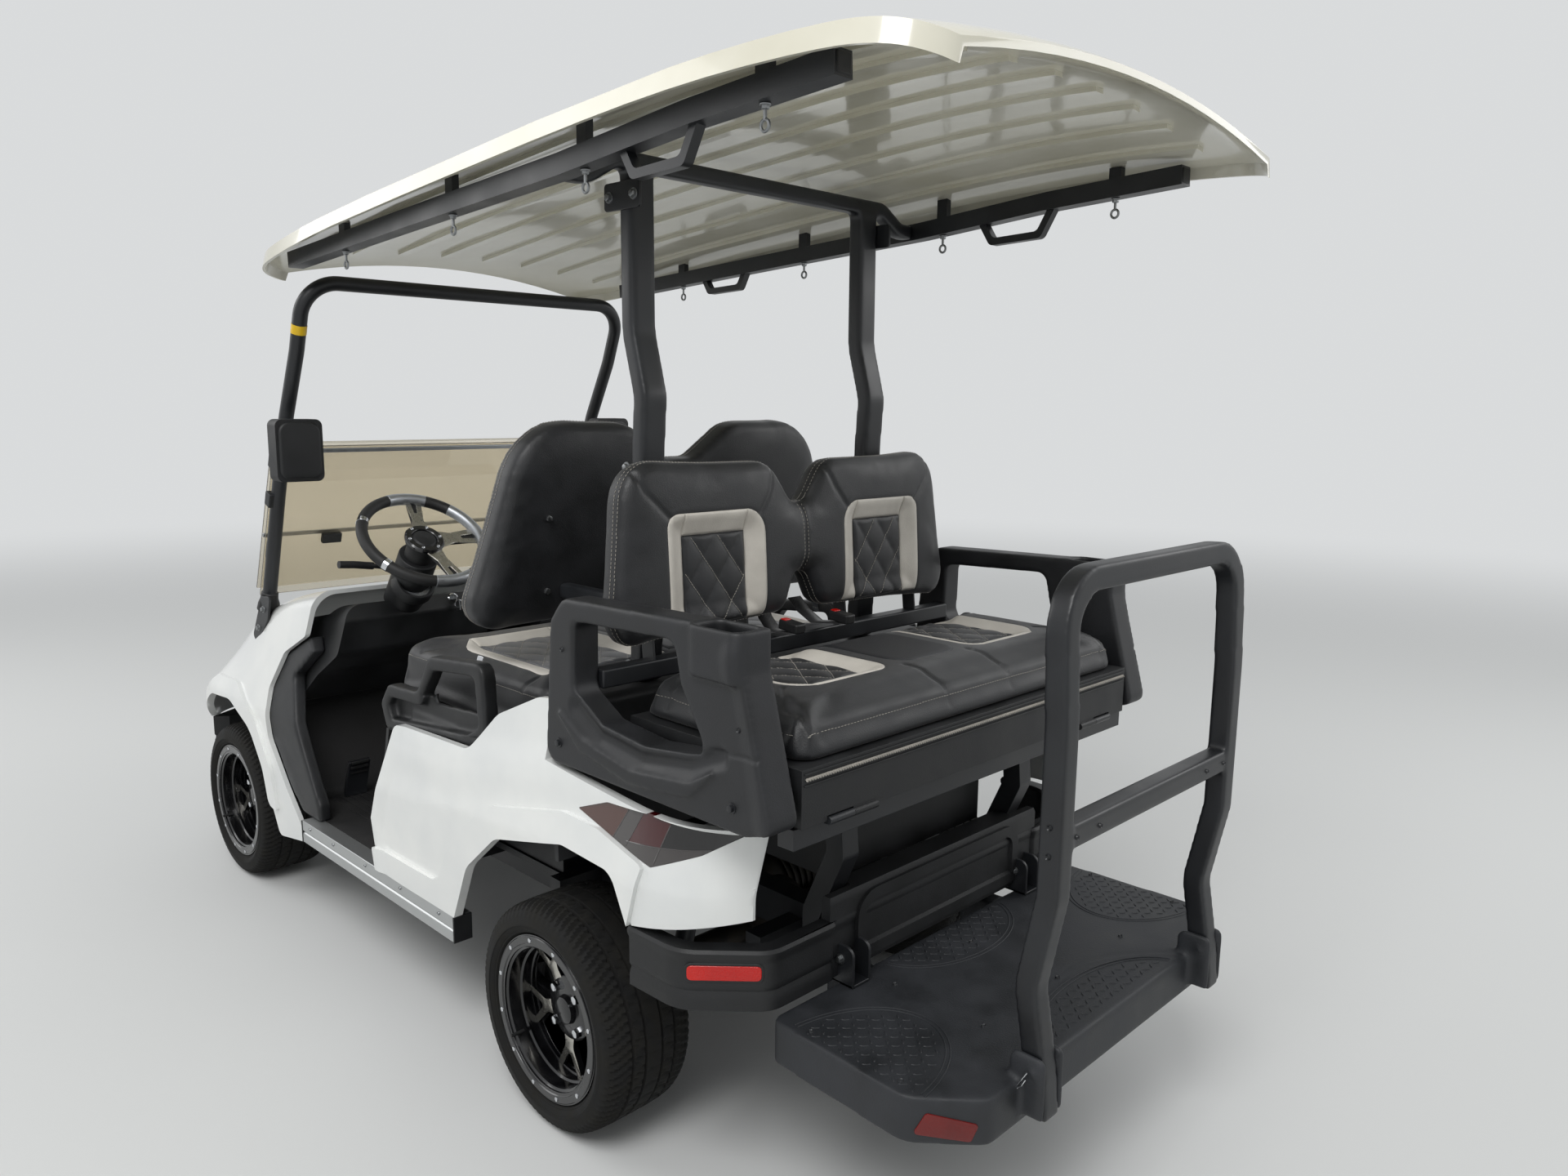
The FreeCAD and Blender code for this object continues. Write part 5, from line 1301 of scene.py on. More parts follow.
def makeBumperParts():
    wide, tall, thick = bumper["reflector"]
    x, y, z = bumper["reflectorPlace"]
    way = Vector(bumper["reflectorWay"]).normalized()
    place = Vector((rearAxle + x, y, z))
    lensPair("bumper_reflector", bar(wide, tall), 0.008, thick, 0.003, place, way, 0.0018, 3, "rear_bumper",
             "redReflector")
    rim = standing(bar(wide + 0.008, tall + 0.008), [0.011] * 4, thick - 0.0015, place - way * 0.003, way)
    newPiece("bumper_reflector_rim", twinned(rim), "rear_bumper", "blackMoulding", crisp=0.0008)
    half, low, high = bumper["beam"]
    rearFace = rearAxle - 0.500
    face = plateShape([(rearFace, -half, low), (rearFace, half, low), (rearFace, half, high),
                       (rearFace, -half, high)], [0.02, 0.02, 0.05, 0.05], (-0.009, 0, 0))
    outer = min(face.faces, key=lambda f: f.calc_center_median().x)
    bmesh.ops.inset_region(face, faces=[outer], thickness=0.022)
    bmesh.ops.inset_region(face, faces=[outer], thickness=0.004)
    bmesh.ops.translate(face, verts=list(outer.verts), vec=(0.007, 0, 0))
    newPiece("crossbeam_face", face, "rear_bumper", "blackMoulding", crisp=0.003, segments=3)
    near, far = bumper["bracket"]
    outline = [(-0.437, 0.3905), (-0.437, 0.452), (-0.470, 0.466), (-0.536, 0.466), (-0.536, 0.3905)]
    plates = [sidePlate(outline, y, y + 0.006, [0, 0.01, 0.02, 0.018, 0.004]) for y in (near, far - 0.006)]
    plates.append(sidePlate([(-0.462, 0.3905), (-0.462, 0.3955), (-0.536, 0.3955), (-0.536, 0.3905)], near,
                            far, [0, 0, 0, 0]))
    newPiece("seat_leg_brackets", twinned(gathered(plates)), "rear_seat_frame", "powderCoat",
             crisp=0.0012)
    fixings("seat_leg_bolts", [
        ("hex", (-0.505, far, 0.438), (0, 1, 0), 0.012), ("hex", (-0.505, near, 0.438), (0, -1, 0), 0.012),
        ("hex", (-0.456, far, 0.420), (0, 1, 0), 0.010), ("hex", (-0.450, 0.302, 0.700), (0, 1, 0), 0.012),
        ("hex", (-0.450, 0.302, 0.745), (0, 1, 0), 0.012),
    ], "rear_seat_frame")


makeBumperParts()

# Footplate: four fields of raised tread inside double lines, screws, reflectors, clips

footTread = {
    "top": 0.389, "pitch": 0.0185, "mark": (0.0165, 0.0045, 0.0016),
    # middle x and y from the rear axle, half sizes; a mark stays inside the plate's own edge
    "fields": [(-0.682, 0.490, 0.122, 0.188), (-0.682, -0.490, 0.122, 0.188), (-0.492, 0.0, 0.112, 0.175),
               (-0.905, 0.0, 0.098, 0.205)],
    "edge": (-0.886, -0.513, 0.466), "lines": (0.010, 0.018), "line": 0.0013,
    "barFoot": 0.29,
    "clip": [(0.0, 0.0), (0.030, -0.002), (0.044, 0.004), (0.052, -0.008), (0.040, -0.014),
             (0.028, -0.006), (0.016, -0.012), (0.004, -0.009)],
}


def inField(field, x, y, grow=0.0):
    cx, cy, a, b = field
    return ((x - cx) / (a + grow)) ** 2 + ((y - cy) / (b + grow)) ** 2 < 1


# Close to a foot of the grab bar, where the plate is plain
def atBarFoot(x, y, room, back):
    return abs(abs(y) - footTread["barFoot"]) < room and x < back


def makeTreadMarks():
    rear, front, half = footTread["edge"]
    pitch = footTread["pitch"]
    long, wide, tall = footTread["mark"]
    bm = bmesh.new()
    for field in footTread["fields"]:
        for i in range(-60, 10):
            for j in range(-30, 31):
                x, y = i * pitch, j * pitch
                if not (rear < x < front and abs(y) < half and inField(field, x, y)):
                    continue
                if atBarFoot(x, y, 0.045, -0.84):
                    continue
                lean = Matrix.Rotation(math.radians(45 if (i + j) % 2 else -45), 4, "Z")
                place = Matrix.Translation((rearAxle + x, y, footTread["top"] + tall / 2 - 0.0003))
                bmesh.ops.create_cone(bm, cap_ends=True, segments=8, radius1=0.5, radius2=0.34, depth=tall,
                                      matrix=place @ lean @ Matrix.Diagonal((long, wide, 1, 1)))
    newPiece("footplate_tread", bm, "footplate", "treadMoulding")


# The double lines round each field, broken where the plate ends
def makeTreadLines():
    rear, front, half = footTread["edge"]
    for number, field in enumerate(footTread["fields"]):
        cx, cy, a, b = field
        for grow in footTread["lines"]:
            ring = []
            for k in range(0, 97):
                angle = 2 * math.pi * k / 96
                x, y = cx + (a + grow) * math.cos(angle), cy + (b + grow) * math.sin(angle)
                onPlate = rear < x < front + 0.004 and abs(y) < half
                if onPlate and not atBarFoot(x, y, 0.040, -0.86):
                    ring.append((k, Vector((rearAxle + x, y, footTread["top"]))))
            runs = []
            for k, spot in ring:
                if runs and runs[-1][-1][0] == k - 1:
                    runs[-1].append((k, spot))
                else:
                    runs.append([(k, spot)])
            for part, run in enumerate(r for r in runs if len(r) > 3):
                cordAlong("footplate_line_%d_%d_%d" % (number, round(grow * 1000), part),
                          [spot for k, spot in run], footTread["line"], "footplate", "treadMoulding")


def makeFootFittings():
    fixings("footplate_screws", [("screw", (x, y, footTread["top"]), (0, 0, 1), 0.0095)
                                 for x in (-0.577, -0.770) for y in (0.0, 0.235, 0.458)], "footplate",
            "powderCoat")
    corner = Vector((rearAxle - 0.847, 0.445, 0.345))
    way = Vector((-0.668, 0.744, 0)).normalized()
    shape = [(-0.050, -0.016), (0.040, -0.026), (0.052, 0.004), (-0.030, 0.020)]
    lensPair("footplate_reflectors", shape, 0.006, 0.006, 0.0035, corner, way, 0.0012, 2, "footplate",
             "darkRedReflector")
    for side in (1, -1):
        points = [Vector((rearAxle - 0.914 + x * 0.55, side * (footTread["barFoot"] + 0.0385),
                          0.411 + z - x * 0.9)) for x, z in footTread["clip"]]
        cordAlong("grab_bar_clip_%d" % side, points, 0.0012, "grab_bar", "chromePlate")
    fixings("grab_bar_screws", [("screw", (-0.938, y, 0.783), (-1, 0, 0), 0.009) for y in (0.19, 0.26)]
            + [("screw", (-0.920, 0.3105, z), (0, 1, 0), 0.010) for z in (0.760, 0.806)],
            "grab_bar", "powderCoat")


makeTreadMarks()
makeTreadLines()
makeFootFittings()
print("rear end made")

# Sills, storage box, motor and the nose

lower = {
    "sill": (0.356, 1.150, 0.258, 0.318), "sillScrews": [0.42, 0.60, 0.78, 0.96, 1.10],
    "lid": ((-0.424, -0.242, 0.692), (-0.119, 0.242, 0.7155)),
    "latch": ((-0.431, -0.035, 0.662), (-0.416, 0.035, 0.706)),
    "motor": (0.120, 0.254, 0.095),
    "fins": [-0.255, -0.235, -0.215, -0.195, -0.175, -0.155, -0.135, -0.115],
    "groove": 0.352, "sunk": 0.004,
    # headlamp bowls: place across and height, radius
    "bowls": [(0.300, 0.514, 0.032), (0.374, 0.502, 0.026)], "winker": 0.472,
}


def makeLowerParts():
    rear, front, low, high = lower["sill"]
    ends = bmesh.new()
    for x0, x1 in ((rear - 0.004, rear + 0.001), (front - 0.001, front + 0.004)):
        addBox(ends, (rearAxle + x0, 0.5585, low - 0.001), (rearAxle + x1, 0.6035, high - 0.001))
    newPiece("sill_end_caps", twinned(ends), "sill_panels", "blackMoulding", crisp=0.0015)
    rows = [("screw", (x, 0.602, high - 0.013), (0, 1, 0), 0.009) for x in lower["sillScrews"]]
    fixings("sill_screws", rows, "sill_panels")
    box = bmesh.new()
    for start, end in (lower["lid"], lower["latch"]):
        addBox(box, Vector(start) + Vector((rearAxle, 0, 0)), Vector(end) + Vector((rearAxle, 0, 0)))
    newPiece("storage_lid", box, "storage_box", "blackMoulding", crisp=0.004, segments=3)
    x, z, r = lower["motor"]
    rings = []
    for y in lower["fins"]:
        bm = spun([(-0.002, r - 0.010), (-0.002, r), (0.002, r), (0.002, r - 0.010)], 48)
        shift(bm, (rearAxle + x, y, z))
        rings.append(bm)
    newPiece("motor_fins", gathered(rings), "rear_axle", "greasyIron")


def bumperNoseRaise(co):
    return -fading(lower["sunk"], abs(co.z - lower["groove"]), 0.002, 0.009)


# Headlamps: a dark clear cover, an amber strip along its foot, two bright bowls
def makeHeadlamps():
    bm = weldedCopy("headlamps")
    bmesh.ops.bisect_plane(bm, geom=everyPart(bm), plane_co=(0, 0, lower["winker"]),
                           plane_no=(0, 0, 1), dist=tiny)
    for face in bm.faces:
        face.material_index = 1 if face.calc_center_median().z < lower["winker"] else 0
    cover = newPiece("headlamps_cover", bm, "headlamps", ["hazedLens", "amberLens"], ["headlamps"],
                     crisp=0.0015)
    tree = treeOf(cover.data)
    bowls, glasses = [], []
    for side in (1, -1):
        for y, z, r in lower["bowls"]:
            spot = tree.ray_cast(Vector((3, side * y, z)), Vector((-1, 0, 0)))[0]
            if spot is None:
                continue
            place = aimed(spot - Vector((0.004, 0, 0)), (1, side * 0.25, 0.05))
            bowls.append(lathed([(-0.006, r), (0.009, r), (0.011, r - 0.002), (0.010, r - 0.004),
                                 (0.004, r - 0.009), (0.001, r * 0.45), (0.001, 0.0001),
                                 (-0.006, 0.0001)], 40, place))
            glasses.append(lathed([(0.003, 0.0001), (0.003, r * 0.5), (0.007, r * 0.42),
                                   (0.009, 0.0001)], 32, place))
    newPiece("headlamp_bowls", gathered(bowls), "headlamps", "chromePlate")
    newPiece("headlamp_bulbs", gathered(glasses), "headlamps", "clearLens")


makeLowerParts()
pressedSkin("front_bumper", "blackMoulding", 0.006, bumperNoseRaise, 0.004, (2,),
            lambda co, normal: Vector((normal.x, normal.y, 0)) if abs(normal.z) < 0.5 else None)
makeHeadlamps()
print("sills and nose made")

# Rear seat's deck, side panels and the bar between them


# Two strands of thread twisted about each other along a run
def twistedTrim(name, start, end, radius, pitch, node):
    along = (end - start).normalized()
    out = along.orthogonal().normalized()
    up = along.cross(out)
    turns = (end - start).length / pitch
    for strand in (0, 1):
        points = []
        for k in range(int(turns * 8) + 1):
            angle = 2 * math.pi * k / 8 + strand * math.pi
            aside = out * math.cos(angle) + up * math.sin(angle)
            points.append(start + along * (pitch * k / 8) + aside * radius)
        cordAlong("%s_%d" % (name, strand), points, radius * 1.05, node, "paleThread", sides=1)


rearSeat = {
    # the fascia's twisted trim: place, half its length, height, strand radius, pitch; and its two lips
    "trim": (rearAxle - 0.6015, 0.505, 0.846, 0.0017, 0.012), "lips": (0.8365, 0.8555), "lipTall": 0.003,
    "crossBar": (0.5276, 0.902, 0.938), "struts": (0.150, 0.400),
}


def makeRearSeatParts():
    x, half, z, radius, pitch = rearSeat["trim"]
    twistedTrim("fascia_cord", Vector((x, -half, z)), Vector((x, half, z)), radius, pitch, "cargo_deck")
    lips = bmesh.new()
    tall = rearSeat["lipTall"]
    for z in rearSeat["lips"]:
        addBox(lips, (x - 0.0012, -0.508, z - tall / 2), (x + 0.004, 0.508, z + tall / 2))
    newPiece("fascia_lips", lips, "cargo_deck", "blackMoulding", crisp=0.0008)
    bm = bmesh.new()
    half, low, high = rearSeat["crossBar"]
    addBox(bm, (rearAxle - 0.103, -half, low), (rearAxle - 0.067, half, high))
    newPiece("seat_cross_bar", bm, "rear_seat_frame", "powderCoat", crisp=0.004, segments=3)
    struts = []
    for y in rearSeat["struts"]:
        struts.append(sidePlate([(-0.103, 0.905), (-0.067, 0.905), (-0.055, 1.020), (-0.090, 1.020)], y,
                                y + 0.005, [0.004, 0.004, 0.012, 0.012]))
    newPiece("seat_back_struts", twinned(gathered(struts)), "rear_seat_frame", "powderCoat",
             crisp=0.001)
    fixings("side_panel_bolts", [
        ("hex", (-0.045, 0.588, 0.800), (0, 1, 0), 0.011),
        ("hex", (-0.520, 0.588, 0.800), (0, 1, 0), 0.011),
        ("screw", (-0.060, 0.588, 0.980), (0, 1, 0), 0.010),
        ("screw", (-0.535, 0.588, 0.930), (0, 1, 0), 0.010),
    ], "rear_side_panels", "powderCoat")


makeRearSeatParts()


# Steering wheel: grips, silver sleeves, brushed spokes, hub ring with its bolts; the stalk, key

steer = {
    "centre": (frontAxle - 0.682, 0.300, 1.062), "tilt": 53, "ring": 0.160, "grip": 0.015,
    # sleeves on the rim: from and to in degrees round from the driver's right, extra radius, finish
    "sleeves": [(-24, 14, 0.0009, "silverPaint"), (166, 204, 0.0009, "silverPaint"),
                (228, 312, 0.0006, "silverPaint"), (57, 62, 0.0014, "chromePlate"),
                (118, 123, 0.0014, "chromePlate")],
    # spokes: their angles, and half their outline: along, and aside in shares of the width
    "spokes": (-12, 192, 270), "spokeWide": 0.036, "lowSpokeWide": 0.046,
    "spokeHalf": [(0.030, 0.75), (0.080, 0.42), (0.150, 0.62), (0.153, 0.2), (0.108, 0.12)],
    "hubRing": (0.033, 0.052), "bolts": 6,
}


def steerTurn():
    tilt = math.radians(steer["tilt"])
    axis = Vector((-math.cos(tilt), 0, math.sin(tilt)))
    turn = Vector((0, 0, 1)).rotation_difference(axis).to_matrix().to_4x4()
    return Matrix.Translation(steer["centre"]) @ turn


# Part of a ring: a circle spun round Z from one angle to another, in degrees
def arcSleeve(ring, radius, start, end, sides=14, degrees=4):
    bm = bmesh.new()
    turn = Matrix.Rotation(math.radians(start), 4, "Z")
    place = turn @ Matrix.Translation((ring, 0, 0)) @ Matrix.Rotation(math.pi / 2, 4, "X")
    bmesh.ops.create_circle(bm, cap_ends=True, segments=sides, radius=radius, matrix=place)
    steps = max(2, round(abs(end - start) / degrees))
    bmesh.ops.spin(bm, geom=everyPart(bm), cent=(0, 0, 0), axis=(0, 0, 1),
                   dvec=(0, 0, 0), angle=math.radians(end - start), steps=steps)
    bmesh.ops.recalc_face_normals(bm, faces=bm.faces)
    return bm


def makeSteeringWheel():
    turn = steerTurn()
    for number, (start, end, extra, finish) in enumerate(steer["sleeves"]):
        bm = arcSleeve(steer["ring"], steer["grip"] + extra, start, end)
        bm.transform(turn)
        newPiece("steering_sleeve_%d" % number, bm, "steering_wheel", finish, crisp=0.0006)
    plates = []
    for angle in steer["spokes"]:
        wide = steer["lowSpokeWide"] if angle == 270 else steer["spokeWide"]
        half = [(u, v * wide) for u, v in steer["spokeHalf"]]
        outline = [(u, -v) for u, v in half] + half[::-1]
        bm = plateShape([(u, v, -0.0055) for u, v in outline],
                        [0, 0.02, 0.004, 0.003, 0.003, 0.003, 0.003, 0.004, 0.02, 0], (0, 0, 0.003))
        bm.transform(turn @ Matrix.Rotation(math.radians(angle), 4, "Z"))
        plates.append(bm)
    newPiece("steering_spokes", gathered(plates), "steering_wheel", "machinedAlloy", crisp=0.0007)
    inner, outer = steer["hubRing"]
    hub = turn @ Matrix.Translation((0, 0, -0.005))
    bm = lathed([(0.0, inner), (0.0, outer), (0.006, outer), (0.010, outer - 0.004), (0.010, inner + 0.002),
                 (0.008, inner)], 64, hub, closed=True)
    newPiece("steering_hub_ring", bm, "steering_wheel", "glossBlack")
    bm = lathed([(-0.001, 0.0001), (-0.001, inner - 0.001), (0.006, inner - 0.001), (0.010, inner - 0.006),
                 (0.012, 0.0001)], 48, hub)
    newPiece("steering_horn_cap", bm, "steering_wheel", "blackMoulding")
    bm = bmesh.new()
    for k in range(steer["bolts"]):
        angle = 2 * math.pi * (k + 0.5) / steer["bolts"]
        middle = (inner + outer) / 2
        screwHead(bm, (middle * math.cos(angle), middle * math.sin(angle), 0.005), (0, 0, 1), 0.009)
    bm.transform(turn)
    newPiece("steering_hub_bolts", bm, "steering_wheel", "chromePlate")


makeSteeringWheel()

column = {
    "stalk": [(-0.690, 0.352, 0.985), (-0.690, 0.400, 0.996), (-0.692, 0.450, 1.006)],
    "handle": [(-0.692, 0.450, 1.006), (-0.694, 0.500, 1.014), (-0.696, 0.540, 1.018)],
    "gauge": (-0.600, 0.300, 0.925), "key": (-0.575, 0.165, 0.872),
    "switches": [(-0.580, 0.060, 0.862), (-0.580, 0.015, 0.862), (-0.580, -0.030, 0.862)],
    "facing": (-0.98, 0, 0.2), "keyRing": (0.011, 24),
    # ribs: across the pedals, their number; across the floor, their number a side and distance
    "pedals": (0.190, 0.380), "pedalRibs": 6, "matRibs": (21, 0.0225),
}


def atFront(place):
    return Vector((frontAxle + place[0], place[1], place[2]))


def makeColumnParts():
    for part, radius in (("stalk", 0.006), ("handle", 0.0095)):
        cordAlong("indicator_" + part, [atFront(p) for p in column[part]], radius, "steering_column",
                  "blackMoulding", sides=4)
    way = Vector((-0.80, 0, 0.60))
    bm = lathed([(0.0, 0.058), (0.024, 0.056), (0.030, 0.052), (0.030, 0.046), (0.018, 0.044),
                 (0.018, 0.0001), (0.0, 0.0001)], 48, aimed(atFront(column["gauge"]), way))
    newPiece("gauge_pod", bm, "dashboard", "blackMoulding", crisp=0.0008)
    bm = bmesh.new()
    bmesh.ops.create_circle(bm, cap_ends=True, segments=40, radius=0.044,
                            matrix=aimed(atFront(column["gauge"]) + way * 0.0195, way))
    newPiece("gauge_glass", bm, "dashboard", "clearLens")


def makeDashParts():
    facing = Vector(column["facing"]).normalized()
    for number, place in enumerate(column["switches"]):
        spot = atFront(place)
        surround = standing(bar(0.026, 0.042), [0.004] * 4, 0.004, spot - facing * 0.006, facing)
        newPiece("dash_switch_frame_%d" % number, surround, "dashboard", "blackMoulding", crisp=0.001)
        rocker = standing(bar(0.018, 0.032), [0.003] * 4, 0.006, spot - facing * 0.004, facing)
        newPiece("dash_switch_%d" % number, rocker, "dashboard", "glossBlack", crisp=0.002)
    place = atFront(column["key"])
    bm = lathed([(0.0, 0.017), (0.004, 0.016), (0.006, 0.013), (0.006, 0.0001), (0.0, 0.0001)], 32,
                aimed(place - facing * 0.004, facing))
    newPiece("key_switch", bm, "dashboard", "chromePlate")
    key = [standing(bar(0.003, 0.020), [0.0005] * 4, 0.020, place, facing),
           standing([(-0.0015, -0.034), (0.0015, -0.034), (0.0015, -0.006), (-0.0015, -0.006)],
                    [0.0005] * 4, 0.018, place + facing * 0.016, facing)]
    newPiece("key", gathered(key), "dashboard", "zincScrew", crisp=0.0006)
    r, count = column["keyRing"]
    ring = [place + facing * 0.030 + Vector((0, r * math.sin(a), -0.016 + r * math.cos(a)))
            for a in [2 * math.pi * k / count for k in range(count)]]
    cordAlong("key_ring", ring, 0.0009, "dashboard", "chromePlate", closed=True)


def makeRibs():
    pads = bmesh.new()
    for y in column["pedals"]:
        for k in range(column["pedalRibs"]):
            t = k / (column["pedalRibs"] - 1)
            low = Vector((frontAxle - 0.4695 + 0.036 * t, y + 0.006, 0.4235 - 0.080 * t))
            addBox(pads, low - Vector((0.004, 0, 0.004)), low + Vector((0.002, 0.050, 0.004)))
    newPiece("pedal_ribs", pads, "pedals", "gripRubber", crisp=0.0012)
    mat = bmesh.new()
    count, apart = column["matRibs"]
    for k in range(-count, count + 1):
        y = k * apart
        addBox(mat, (rearAxle + 0.735, y - 0.004, 0.3175), (frontAxle - 0.425, y + 0.004, 0.3200))
    newPiece("floor_mat_ribs", mat, "floor_pan", "floorMat", crisp=0.0012)


makeColumnParts()
makeDashParts()
makeRibs()
print("dash made")

# Front seat: the shell's bolts, belts and buckles at both seats


# A buckle: a black case with a red release
def makeBuckle(name, place, way, node):
    way = Vector(way).normalized()
    case = standing(bar(0.030, 0.056), [0.006] * 4, 0.020, place, way)
    newPiece(name + "_case", case, node, "blackMoulding", crisp=0.003, segments=3)
    release = standing([(-0.009, 0.012), (0.009, 0.012), (0.009, 0.027), (-0.009, 0.027)], [0.002] * 4,
                       0.0212, Vector(place) + way * 0.0004, way)
    newPiece(name + "_release", release, node, "redReflector", crisp=0.0008)


belts = {
    "rearMiddle": [(-0.030, 1.000), (-0.052, 0.972), (-0.085, 0.950), (-0.120, 0.953), (-0.168, 0.957)],
    "frontMiddle": [(0.238, 0.905), (0.280, 0.880), (0.318, 0.868), (0.372, 0.872)],
    "wide": 0.040, "thick": 0.0016, "rearY": 0.052, "frontY": 0.085,
}


def makeBelts():
    for side in (1, -1):
        y = side * belts["rearY"]
        points = [(rearAxle + x, y + side * 0.008 * k, z) for k, (x, z) in enumerate(belts["rearMiddle"])]
        strap("rear_belt_%d" % side, points, (0, 1, 0), belts["wide"], belts["thick"],
              "rear_seat_back", "beltWebbing")
        makeBuckle("rear_buckle_%d" % side, (rearAxle - 0.150, y + side * 0.026, 0.9585), (-0.1, 0, 1),
                   "rear_seat_back")
        y = side * belts["frontY"]
        points = [(rearAxle + x, y, z) for x, z in belts["frontMiddle"]]
        strap("front_belt_%d" % side, points, (0, 1, 0), belts["wide"], belts["thick"],
              "front_seat_back", "beltWebbing")
        makeBuckle("front_buckle_%d" % side, (rearAxle + 0.352, y, 0.8735), (0.1, 0, 1), "front_seat_back")
    lean = leanOf(seatBacks["front"])
    rows = [("hex", tuple(lean @ Vector((0.0005, y, z)) - Vector((rearAxle, 0, 0))), (-1, 0, -0.087), 0.013)
            for y, z in ((0.120, 1.180), (0.380, 1.180), (0.120, 1.020), (0.380, 1.020))]
    fixings("seat_shell_bolts", rows, "front_seat_back")
    tongue = [standing(bar(0.022, 0.034), [0.004] * 4, 0.0025,
                       (rearAxle + 0.345, side * 0.5235, 0.872), (0, side, 0.3)) for side in (1, -1)]
    newPiece("belt_tongues", gathered(tongue), "hip_restraints", "chromePlate", crisp=0.0006)


makeBelts()
print("belts made")

# Windshield trims, mirrors, hoop, roof rails

glass = {
    "foot": (-0.096, 0.862), "head": (-0.264, 1.300), "half": 0.515,
    "latch": (0.300, 0.357), "clips": (("low", 1.155), ("high", 1.262)), "clipEnds": (0.484, 0.528),
}
hoop = {
    "radius": 0.019, "y": 0.500, "tape": (1.604, 0.024), "boot": 0.850,
    "line": [(-0.091, 0.760), (-0.153, 0.933), (-0.234, 1.150), (-0.324, 1.377), (-0.418, 1.548),
             (-0.486, 1.722)],
    "bootSteps": [(-0.030, -0.004), (-0.030, 0.012), (-0.012, 0.010), (0.004, 0.005), (0.022, 0.004),
                  (0.026, 0.0005), (0.026, -0.004)],
    "plate": [(-0.195, 0.870), (-0.130, 0.862), (-0.052, 0.740), (-0.066, 0.722), (-0.110, 0.742),
              (-0.170, 0.800)],
}
mirror = {
    "back": frontAxle - 0.428, "front": frontAxle - 0.376, "shell": (0.454, 0.566, 1.214, 1.366),
    "shellRadii": [0.024, 0.024, 0.03, 0.03], "rim": (0.452, 0.568, 1.212, 1.368), "joint": (0.500, 1.251),
    "ball": 0.016,
}


# A point on the windshield's slope at a height, some way ahead of it
def onGlass(z, ahead=0.0):
    (x0, z0), (x1, z1) = glass["foot"], glass["head"]
    slope = Vector((x1 - x0, 0, z1 - z0)).normalized()
    out = Vector((slope.z, 0, -slope.x))
    return Vector((frontAxle + x0 + (x1 - x0) * (z - z0) / (z1 - z0), 0, z)) + out * ahead, slope, out


# A bar right across the windshield, its section from low to high along the slope
def glassBar(name, z, tall, back, front, node, finish, inner=-glass["half"], outer=glass["half"],
             crisp=0.001):
    spot, slope, out = onGlass(z)
    corners = [spot + slope * a + out * b + Vector((0, inner, 0))
               for a, b in ((-tall / 2, back), (tall / 2, back), (tall / 2, front), (-tall / 2, front))]
    bm = plateShape([tuple(c) for c in corners], [0] * 4, (0, outer - inner, 0))
    return newPiece(name, bm, node, finish, crisp=crisp)


def makeWindshieldParts():
    glassBar("windshield_hinge_trim", 1.284, 0.012, -0.0105, -0.0035, "windshield_lower", "silverPaint")
    # folded, the upper sheet lies ahead of the lower one and a little steeper
    glassBar("windshield_upper_trim", 1.034, 0.011, 0.0135, 0.0205, "windshield_upper", "silverPaint")
    for name, ends in (("windshield_latch", glass["latch"]),
                       ("windshield_latch_right", [-y for y in glass["latch"][::-1]])):
        glassBar(name, 1.026, 0.030, -0.020, -0.0035, "windshield_lower", "blackMoulding", *ends, 0.003)
    for name, z in glass["clips"]:
        for side in (1, -1):
            ends = sorted(side * y for y in glass["clipEnds"])
            glassBar("hoop_clip_%s_%d" % (name, side), z, 0.040, -0.036, -0.0036, "front_hoop",
                     "blackMoulding", *ends, 0.003)


# The middle of the hoop's left tube at a height, and the way it runs
def hoopPoint(z):
    for (x0, z0), (x1, z1) in zip(hoop["line"], hoop["line"][1:]):
        if z0 <= z <= z1:
            spot = Vector((frontAxle + x0 + (x1 - x0) * (z - z0) / (z1 - z0), hoop["y"], z))
            return spot, Vector((x1 - x0, 0, z1 - z0)).normalized()


def makeHoopParts():
    height, tall = hoop["tape"]
    spot, along = hoopPoint(height)
    r = hoop["radius"]
    bm = lathed([(-tall / 2, r - 0.002), (-tall / 2, r + 0.0008), (tall / 2, r + 0.0008),
                 (tall / 2, r - 0.002)], 40, aimed(spot, along), closed=True)
    newPiece("hoop_tape", bm, "front_hoop", "yellowTape")
    boots = []
    for side in (1, -1):
        spot, along = hoopPoint(hoop["boot"])
        spot.y *= side
        boots.append(lathed([(a, r + b) for a, b in hoop["bootSteps"]], 40, aimed(spot, along), True))
    newPiece("hoop_boots", gathered(boots), "front_hoop", "gripRubber")
    plates = plateShape([(frontAxle + x, 0.5196, z) for x, z in hoop["plate"]], [0.012] * 6,
                        (0, 0.006, 0))
    newPiece("hoop_foot_plates", twinned(plates), "front_hoop", "powderCoat", crisp=0.0015)
    fixings("hoop_foot_bolts", [("hex", (1.676 - 0.142, 0.5256, 0.826), (0, 1, 0), 0.012),
                                ("hex", (1.676 - 0.098, 0.5256, 0.766), (0, 1, 0), 0.012)], "front_hoop")


